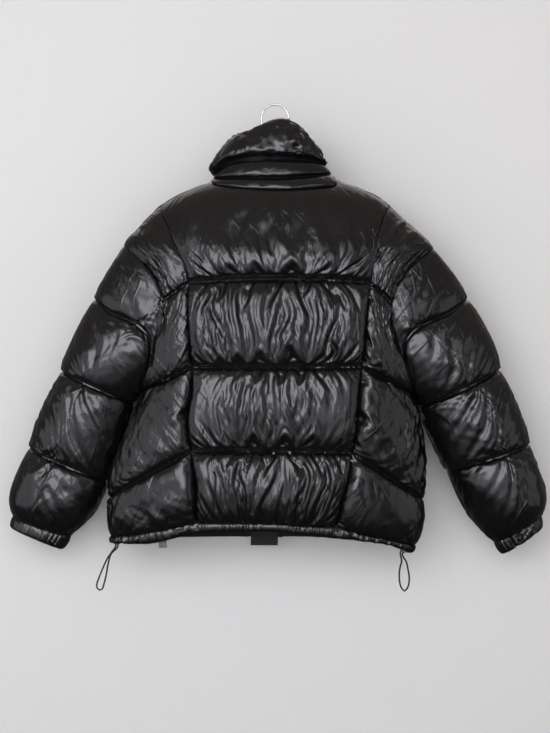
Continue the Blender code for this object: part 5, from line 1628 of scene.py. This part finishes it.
def make_room_light():
    world = bpy.data.worlds.new("room")
    world.use_nodes = True
    bpy.context.scene.world = world
    nodes, link = world.node_tree.nodes, world.node_tree.links.new
    ramp = nodes.new("ShaderNodeValToRGB")
    split = nodes.new("ShaderNodeSeparateXYZ")
    coords = nodes.new("ShaderNodeTexCoord")
    upward = nodes.new("ShaderNodeMapRange")
    upward.inputs["From Min"].default_value = -1.0
    link(coords.outputs["Generated"], split.inputs["Vector"])
    link(split.outputs["Z"], upward.inputs["Value"])
    link(upward.outputs["Result"], ramp.inputs["Fac"])
    link(ramp.outputs["Color"], nodes["Background"].inputs["Color"])
    nodes["Background"].inputs["Strength"].default_value = 1.0
    set_stops(ramp.color_ramp.elements, ROOM_LIGHT)


def make_stage():
    """The wall and floor, and light from around the camera."""
    wall, floor = make_wall(), make_floor()
    make_lights()
    make_room_light()
    bpy.context.scene.view_settings.view_transform = "Standard"
    bpy.context.scene.view_settings.look = "None"


# ---------------------------------------------------------------------------------- cords

def tube(name, path, radius, look, swell=None, closed=False, smooth=4):
    """A bevelled curve along a path.  swell scales the radius at each point."""
    curve = bpy.data.curves.new(name, "CURVE")
    curve.dimensions = "3D"
    curve.bevel_depth = radius
    curve.bevel_resolution = smooth
    curve.use_fill_caps = not closed
    curve.materials.append(look)
    spline = curve.splines.new("POLY")
    spline.points.add(len(path) - 1)
    spline.use_cyclic_u = closed
    for k, (point, place) in enumerate(zip(spline.points, path)):
        point.co = (*place, 1)
        point.radius = 1 if swell is None else swell[k]
    return put(name, curve)


def smooth_path(points, steps):
    """A smooth curve through points, cut into equal steps."""
    points = np.array(points, float)
    length = run_length(points)
    slope = np.gradient(points, length, axis=0)
    where = np.linspace(0, length[-1], 12 * steps)
    k = np.clip(np.searchsorted(length, where, side="right") - 1, 0, len(length) - 2)
    step = np.diff(length)[k][:, None]
    u = (where - length[k])[:, None] / step
    fine = ((2 * u - 3) * u * u * (points[k] - points[k + 1]) + points[k]
            + ((u - 2) * u + 1) * u * step * slope[k] + (u - 1) * u * u * step * slope[k + 1])
    length = run_length(fine)
    return read_at(spaced(0, length[-1], steps), length, fine)


def eyelet_place(side):
    """Where an eyelet hangs below the hem: its middle, and the ways along, out of and down from the hem."""
    angle = CORD_EXITS[side]
    around = np.array([angle - 3, angle, angle + 3])
    points, normals = torso_grid(np.stack([around, hem_height(around)], axis=-1))
    along = unit(points[2] - points[0])
    out = normals[1]
    down = np.cross(along, out)
    down = unit(down * -np.sign(down[2]))
    return points[1] - out * WALL / 2 + down * (EYELET_WIRE + EYELET_DROP[side]), along, out, down


EYELET_POINTS = 48
CORD_POINTS = 34
CORD_DROP = 0.003            # how far the cord runs straight down out of its eyelet


def make_cords(cord_look, metal_look):
    for side in (LEFT, RIGHT):
        name = name_of(side)
        drop, along, out, down = eyelet_place(side)
        turn = np.radians(np.arange(EYELET_POINTS) * (360 / EYELET_POINTS))[:, None]
        ring = drop + along * np.cos(turn) * EYELET["long_half"] + out * np.sin(turn) * EYELET["short_half"]
        eyelet = tube("eyelet_" + name, ring, EYELET_WIRE, metal_look, closed=True, smooth=5)
        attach(eyelet, BODY)
        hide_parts("hem_eyelet_" + name)
        ends = [drop - along * CORD_APART / 2, drop + along * CORD_APART / 2]
        route = np.stack([CORDS[side][key] for key in ("across", "deep", "height")], axis=-1)
        leaving, returning = ends[0] + down * CORD_DROP, ends[1] + down * CORD_DROP
        path = smooth_path(np.concatenate([[ends[0], leaving], route, [returning, ends[1]]]), CORD_POINTS)
        loop = tube("cord_loop_" + name, path, CORD_ROUND / 2, cord_look)
        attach(loop, BODY)
        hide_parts("cord_" + name)


# ---------------------------------------------------------------------------------- zip, label and hanger

TAPE_COLUMNS = 5
TAPE_APART = 1e-5            # from the zip's middle to each tape's edge
GUARD_COLUMNS = 13
TEETH_APART = 0.0015         # from one tooth to the next, on alternate sides
TOOTH = (0.0034, 0.0022, 0.0011)  # across the zip, out of the tape and along the zip
TOOTH_BEVEL = 0.22           # how much of its size a tooth loses at its rim
TOOTH_ASIDE = 0.0008         # how far a tooth stands beside the zip's middle
TOOTH_RAISED = 0.30          # how much of its thickness a tooth's middle stands out of the tape
TEETH_TO = -0.733            # the height where the teeth end
STOP = (0.0022, 0.0026, 0.0030)
STOP_ASIDE = 0.0016
STOP_ABOVE = 0.0022          # from the slider's top to the stops
TEETH_BELOW = 0.001          # from the slider's end to the first tooth
ZIP_BOX = (0.0070, 0.0030, 0.0080)
LABEL_CURL = 0.0011          # how far the label's free end bows out of flat


def zip_tape(g, side, pieces):
    """One side of the zip's tape: a grid from the front's edge to the middle of the zip."""
    name = name_of(side)
    edge = -1 if side == RIGHT else 0
    grids = (pieces["collar"], pieces["front_" + name], pieces["hem_front_" + name])
    outer, normals = (np.concatenate([grids[0][key][::-1, edge], *(grid[key][1:, -1] for grid in grids[1:])])
                      for key in ("points", "normals"))
    share = np.linspace(0, 1, TAPE_COLUMNS)[None, :, None]
    points = outer[:, None] * (1 - share) + zip_strip(g, side * TAPE_APART)[:, None] * share
    normals = np.repeat(normals[:, None], TAPE_COLUMNS, axis=1)
    return dict(points=points, normals=normals, marks=[0, len(points) - 1])


def zip_guard(g):
    """The flat strip behind the zip."""
    offsets = np.linspace(-GUARD_HALF, GUARD_HALF, GUARD_COLUMNS)
    points = np.stack([zip_strip(g, offset, GUARD_END) for offset in offsets], axis=1)[g.collar[2] // 2:]
    last = points[-2:-1] + (points[-1:] - points[-2:-1]) * np.linspace(0, 1, 6)[:, None, None]
    points = np.concatenate([points[:-2], last])
    normals = np.cross(np.gradient(points, axis=0), np.gradient(points, axis=1))
    normals = zip_normal(unit(normals * np.sign(normals[..., 1:2])))
    return dict(points=points, normals=normals, marks=[0, len(points) - 1])


def flat_size(points):
    """How wide and how long a grid of cloth lies when it is flat."""
    across = np.linalg.norm(np.diff(points, axis=1), axis=-1).sum(axis=1).mean()
    down = np.linalg.norm(np.diff(points, axis=0), axis=-1).sum(axis=0).mean()
    return float(across), float(down)


def make_sheet(name, piece, sunk, thick, look, node, slot, **how):
    outside = piece["points"] - piece["normals"] * sunk
    sheet = wall_mesh(name, piece, outside, LOOKS[look], depth=sunk + thick, coarse=1)
    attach(sheet, BODY)
    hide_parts(node)
    flat_size(piece["points"])
    return sheet


def make_zip(fine):
    for side in (LEFT, RIGHT):
        name = name_of(side)
        make_sheet("tape_" + name, zip_tape(FINE, side, fine), TAPE_SUNK, TAPE_THICK, "tape",
                   "zip_tape_" + name, "matte_black_tape", held="hung",
                   rests_on=["cloth_front_" + name, "cloth_collar"])
    make_sheet("guard_strip", zip_guard(FINE), GUARD_SUNK, GUARD_THICK, "tape", "zip_guard",
               "matte_black_tape", held="hung", rests_on=["cloth_front_left", "cloth_front_right"])
    strips = [zip_strip(FINE, side * TAPE_APART) for side in (LEFT, RIGHT)]
    middle = (strips[0] + strips[1]) / 2
    wider = [strip + (side * 0.01, 0, 0) for strip, side in zip(strips, (LEFT, RIGHT))]
    normals = grid_normals(np.stack(wider, axis=1))[:, 0]
    normals = zip_normal(normals * np.sign(normals[:, 1:2]))
    long = run_length(middle)
    from_top, to_end = (np.interp(-height, -middle[:, 2], long) for height in (SLIDER_HEIGHT, TEETH_TO))
    teeth_at = np.arange(from_top + SLIDER_LONG / 2 + TEETH_BELOW, to_end, TEETH_APART)
    side = np.where(np.arange(len(teeth_at)) % 2, 1.0, -1.0)
    stops_at = np.full(2, from_top - SLIDER_LONG / 2 - STOP_ABOVE)
    boxes = [(teeth_at, side * TOOTH_ASIDE, TOOTH), (stops_at, np.array([-STOP_ASIDE, STOP_ASIDE]), STOP),
             (np.array([to_end + ZIP_BOX[2] / 2]), np.zeros(1), ZIP_BOX)]
    places, faces, made = [], [], 0
    for where, aside, size in boxes:
        out = unit(read_at(where, long, normals))
        across = np.array([1.0, 0, 0])[None]
        along = unit(np.cross(out, across))
        tape = read_at(where, long, middle) - out * TAPE_SUNK
        middles = tape + across * aside[:, None] + out * (TOOTH_RAISED * size[1])
        corners, box_faces = bevelled_box(np.array(size) / 2, TOOTH_BEVEL * min(size))
        turned = middles[:, None] + corners[None, :, :1] * across[:, None] \
            + corners[None, :, 1:2] * out[:, None] + corners[None, :, 2:] * along[:, None]
        places.append(turned.reshape(-1, 3))
        for start in range(made, made + len(places[-1]), len(corners)):
            faces += [tuple(int(corner) + start for corner in face) for face in box_faces]
        made += len(places[-1])
    teeth = add_mesh("zip_teeth", np.concatenate(places), faces, LOOKS["metal"], sharp=50)
    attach(teeth, BODY)


def bevelled_box(half, bevel):
    """Corners and faces of a box whose edges are cut off."""
    work = bmesh.new()
    bmesh.ops.create_cube(work, size=2, matrix=Matrix.Diagonal((*half, 1)))
    bmesh.ops.bevel(work, geom=work.edges[:], offset=bevel, segments=1, affect="EDGES")
    work.verts.ensure_lookup_table()
    corners = np.array([tuple(vertex.co) for vertex in work.verts])
    faces = [[vertex.index for vertex in face.verts] for face in work.faces]
    work.free()
    return corners, faces


def make_label():
    """The small woven label under the back hem, slightly bowed."""
    at = np.array([angle_at(LABEL["across"], LABEL["high"]), LABEL["high"]])
    point, normal = torso_grid(at)
    flat = unit(normal * np.array([1, 1, 0]))
    middle = point - normal * (WALL + LABEL["behind"] + LABEL["thick"] / 2)
    tall = LABEL["high"] - LABEL["low"]
    turn = np.array(Matrix.Rotation(math.atan2(flat[1], flat[0]) + math.radians(90), 3, "Z")
                    @ Matrix.Rotation(LABEL["lean"], 3, "Y"))
    down, across = np.linspace(0, 1, 22), np.linspace(-0.5, 0.5, 11)
    bow = LABEL_CURL * (down ** 2)[:, None] * (0.35 + 2.2 * across[None] ** 2)
    grid = np.stack([np.broadcast_to(across[None] * LABEL["wide"], bow.shape), bow,
                     np.broadcast_to(-down[:, None] * tall, bow.shape)], axis=-1)
    points = middle + grid @ turn.T
    normals = grid_normals(points)
    outward = np.sign(np.sum(normals * normal, axis=-1, keepdims=True))
    piece = dict(points=points, normals=normals * outward, marks=[0, len(points) - 1])
    make_sheet("label", piece, -LABEL["thick"] / 2, LABEL["thick"], "label", "care_label", "woven_label",
               held="hung", rests_on=["cloth_hem_back"])


HOOK_STEM = ((-0.0050, 0, -0.0520), (0, 0, -0.0640))  # points between the arc and the hanger's top
# The ball at the hook's end: how far each ring lies below the arc, and how wide it is for a wire of 1.
BALL_DROP = np.array([0.0047, 0.0045, 0.0040, 0.0034, 0.0026, 0.0018, 0.0010])
BALL_WIDTH = (0.20, 0.62, 1.05, 1.28, 1.38, 1.30, 1.12, 1.0)


def make_hook():
    """The hanger's wire hook, with its ball end."""
    centre = HOOK_WIRE - HOOK_RADIUS
    turn = np.radians(np.linspace(HOOK_START, HOOK_END, 64))
    arc = np.stack([HOOK_RADIUS * np.cos(turn), 0 * turn, centre + HOOK_RADIUS * np.sin(turn)], axis=-1)
    stem = smooth_path([arc[-4], arc[-1], *HOOK_STEM, (0, 0, HANGER_TOP + SEAM_GAP)], 40)
    tip = arc[0] - np.array([0, 0, 1.0])[None] * BALL_DROP[:, None]
    path = np.concatenate([tip, arc[:-3], stem[1:]])
    swell = np.ones(len(path))
    swell[:len(BALL_WIDTH)] = BALL_WIDTH
    hook = tube("wire_hook", path, HOOK_WIRE, LOOKS["chrome"], swell=swell, smooth=6)
    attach(hook, BODY)
    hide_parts("hanger_hook")


# ---------------------------------------------------------------------------------- stitching

STITCH_APART = 0.0032        # from one stitch to the next
STITCH_LONG = 0.0024
STITCH_AHEAD = 0.0006        # how far ahead a stitch's direction is measured
THREAD = 0.00028             # half the thread's thickness
THREAD_SIDES = 6
# A stitch's rings: place along it as a share of its length, width and height as shares of THREAD.
THREAD_RINGS = ((-0.5, 0.35, -0.3), (-0.32, 1.0, 0.6), (0.32, 1.0, 0.6), (0.5, 0.35, -0.3))
QUILTED = ("back_center", "back_side_left", "back_side_right", "front_left", "front_right", "sleeve_left",
           "sleeve_right", "collar")


def stitches_on(path, out):
    """Capsules of thread along a path of points, lying on the cloth."""
    long = run_length(path)
    where = np.arange(STITCH_APART, long[-1] - STITCH_APART, STITCH_APART)
    place = read_at(where, long, path)
    along = unit(read_at(where + STITCH_AHEAD, long, path) - place)
    side = unit(np.cross(along, unit(read_at(where, long, out))))
    out = np.cross(side, along)
    turn = np.radians(np.arange(THREAD_SIDES) * (360 / THREAD_SIDES))[None, :, None]
    rim_points = side[:, None] * np.cos(turn) + out[:, None] * np.sin(turn)
    rings = []
    for step, wide, lift in THREAD_RINGS:
        middle = place + along * step * STITCH_LONG + out * (THREAD * lift)
        rings.append(middle[:, None] + rim_points * THREAD * wide)
    return np.stack(rings, axis=1)


def make_stitches(settled):
    """Thread along every quilting line, as one mesh."""
    groups = []
    for name in QUILTED:
        grid, outside = settled[name]
        for mark in grid["marks"]:
            if 0 < mark < outside.shape[0] - 1:
                path, out = outside[mark], grid["normals"][mark]
                if grid.get("closed"):
                    path, out = np.concatenate([path, path[:1]]), np.concatenate([out, out[:1]])
                groups.append(stitches_on(path, out))
    rings = np.concatenate(groups)
    corners = THREAD_SIDES * len(THREAD_RINGS)
    faces = []
    for start in range(0, corners - THREAD_SIDES, THREAD_SIDES):
        for k in range(THREAD_SIDES):
            near, far = start + k, start + (k + 1) % THREAD_SIDES
            faces.append((near, far, far + THREAD_SIDES, near + THREAD_SIDES))
    faces += [tuple(range(THREAD_SIDES))[::-1], tuple(range(corners - THREAD_SIDES, corners))]
    whole = [tuple(corner + corners * k for corner in face) for k in range(len(rings)) for face in faces]
    thread = add_mesh("quilting_thread", rings.reshape(-1, 3), whole, LOOKS["thread"], sharp=60)
    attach(thread, BODY)


# ---------------------------------------------------------------------------------- how each piece is cut

YOKE_FROM, YOKE_OVER = 0.30, 0.45  # where down the yoke slack sets in, and over how much of it
YOKE_LEAST = 0.04
YOKE_SHARE = 0.6             # the most that the yoke gets of the slack of the other baffles
ROLL_SHARE = 0.12            # the same for the collar's roll and band, beside its top


def yoke_ramp(piece):
    """Hardly any slack at the neck, more in the yoke's lower half, and all of it below the yoke."""
    first, last = sorted(piece["marks"])[:2] if 0 in piece["marks"] else (0, min(piece["marks"]))
    rows = np.arange(piece["points"].shape[0])
    part = np.clip((rows - first) / (last - first), 0, 1)
    share = np.clip((part - YOKE_FROM) / YOKE_OVER, YOKE_LEAST, 1) * np.where(part < 1, YOKE_SHARE, 1.0)
    return share[:, None]


def collar_ramp(piece):
    """The collar's slumped top is crumpled, its roll and band are smooth."""
    rows = np.arange(piece["points"].shape[0])
    return np.where(rows > sorted(piece["marks"])[-2], 1.0, ROLL_SHARE)[:, None]


# Places where a piece has more or less cloth than the rest: middle and half size as shares of the whole
# piece, from its grid's first column and first row, and slack added along the rows and from row to row.
# The first row is a piece's top, but the collar's is its neck seam.
SPOT = "along down wide tall across_more down_more"
SPOTS = {"back_center": table(SPOT,
                              (0.30, 0.42, 0.20, 0.08, 0.03, 0.00), (0.66, 0.42, 0.16, 0.10, 0.06, 0.00),
                              (0.93, 0.42, 0.06, 0.10, -0.07, 0.00), (0.20, 0.66, 0.14, 0.08, -0.06, 0.06),
                              (0.55, 0.64, 0.13, 0.10, 0.06, 0.00), (0.83, 0.64, 0.06, 0.10, -0.12, -0.02),
                              (0.22, 0.86, 0.18, 0.07, -0.04, 0.06), (0.65, 0.86, 0.18, 0.08, 0.08, 0.03)),
         "collar": table(SPOT,
                         (0.47, 0.76, 0.05, 0.07, 0.05, 0.12), (0.55, 0.70, 0.05, 0.05, 0.04, 0.12),
                         (0.38, 0.66, 0.05, 0.10, 0.02, 0.10), (0.63, 0.72, 0.05, 0.08, 0.04, 0.10)),
         "sleeve_left": table(SPOT, (0.25, 0.62, 0.15, 0.10, 0.03, 0.04)),
         "sleeve_right": table(SPOT, (0.25, 0.62, 0.15, 0.10, 0.03, 0.04))}

BODY_CLOTH = dict(bend=0.30, firm=0.006, push=0.00001, rough=0.003, width=4, fine=0.0005, crumple=0.010,
                  tuck=0.0022, crease=0.0017, crease_size=(24, 7))
SIDE_CLOTH = dict(BODY_CLOTH, slack=0.012, slack_down=0.014, sag=(1.2, 1.6, 0.9, 1.0), slant=-38,
                  flat=flat_shoulders)
FRONT_CLOTH = dict(BODY_CLOTH, slack=0.05, slack_down=0.02)
SLEEVE_CLOTH = dict(BODY_CLOTH, sag=1.5, box=0.55, skew=-0.030, slant=50)
HEM_CLOTH = dict(slack=0.22, slack_down=0.04, fine=0.0016, crumple=0.05)
CUFF_CLOTH = dict(HEM_CLOTH, slack=0.25, slack_down=0.02)
CLOTH = {"back_center": dict(slack=0.088, slack_down=0.002, sag=(1.7, 1.05, 0.95, 1.0),
                             box=(0.6, 0.85, 0.85, 0.85), pucker=0.15, seed=11, bend=0.35, firm=0.005,
                             push=0.00001, rough=0.007, width=4.4, tall=60, crumple=0.02,
                             ramp=yoke_ramp, flat=flat_shoulders, slant=12, tuck=0.0016, crease=0.0013,
                             crease_size=(34, 6)),
         "back_side_left": dict(SIDE_CLOTH, seed=12),
         "back_side_right": dict(SIDE_CLOTH, seed=13),
         "front_left": dict(FRONT_CLOTH, seed=14),
         "front_right": dict(FRONT_CLOTH, seed=15),
         "sleeve_left": dict(SLEEVE_CLOTH, slack=0.026, slack_down=0.014, seed=16),
         "sleeve_right": dict(SLEEVE_CLOTH, slack=0.038, slack_down=0.020, seed=17),
         "collar": dict(slack=0.02, slack_down=0.04, bend=0.12, firm=0.005, push=0.00001, rough=0.006,
                        fine=0.002, crumple=0.04, width=12, tall=3, sag=0.7, box=0.7, ramp=collar_ramp,
                        seed=18, crease=0.0036, crease_size=(16, 5), slant=70, tuck=0.001),
         "hem_back": dict(HEM_CLOTH, seed=19),
         "hem_front_left": dict(HEM_CLOTH, seed=20),
         "hem_front_right": dict(HEM_CLOTH, seed=21),
         "cuff_left": dict(CUFF_CLOTH, seed=22),
         "cuff_right": dict(CUFF_CLOTH, seed=23)}


def make_cloth():
    plain, fine = all_pieces(PLAIN), all_pieces(FINE)
    facing_rooms(plain, fine)
    with ThreadPoolExecutor(4) as pool:
        waiting = {name: pool.submit(simulate, fine[name], spots=SPOTS.get(name), **how)
                   for name, how in CLOTH.items()}
        settled = {name: job.result() for name, job in waiting.items()}
    for name, (grid, outside) in settled.items():
        sided = "nylon_" + name.split("_")[-1]
        piece = wall_mesh("cloth_" + name, grid, outside, LOOKS[sided if sided in LOOKS else "nylon"],
                          lining=LOOKS["lining"])
        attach(piece, BODY)
        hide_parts(name)
    make_zip(fine)
    make_stitches(settled)


# ---------------------------------------------------------------------------------- making it all

make_camera()
# Creases of each cloth: slant in degrees, scale, how much longer than wide, height.
CREASES = {"nylon": ((8, 40.0, 6.0, 0.0005), (-20, 55.0, 5.0, 0.0004)),
           "nylon_left": ((-40, 32.0, 7.0, 0.0007), (18, 44.0, 6.0, 0.0005)),
           "nylon_right": ((40, 32.0, 7.0, 0.0007), (-18, 44.0, 6.0, 0.0005))}
LOOKS = {"tape": webbing("black_tape", (0.014, 0.014, 0.015)),
         "cord": webbing("cord_braid", (0.010, 0.010, 0.011), 0.6),
         "chrome": plain_metal("polished_chrome", (0.62, 0.62, 0.64), 0.14, 0.06),
         "metal": plain_metal("gunmetal", (0.16, 0.16, 0.17), 0.32, 0.12),
         "plastic": clear_plastic("hanger_plastic"),
         "label": webbing("label_weave", (0.13, 0.13, 0.135), 0.8),
         "lining": webbing("lining_taffeta", (0.006, 0.006, 0.0065), 0.75, 0.0),
         "thread": webbing("sewing_thread", (0.004, 0.004, 0.0045), 0.7, 0.0)}
LOOKS.update((name, nylon(name, creases)) for name, creases in CREASES.items())
make_cords(LOOKS["cord"], LOOKS["metal"])
make_cloth()
make_label()
make_hook()
for node, look in (("hanger_body", "plastic"), ("zip_slider", "metal"), ("zip_pull", "metal")):
    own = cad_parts[node].data.materials
    own.clear()
    own.append(LOOKS[look])
make_stage()
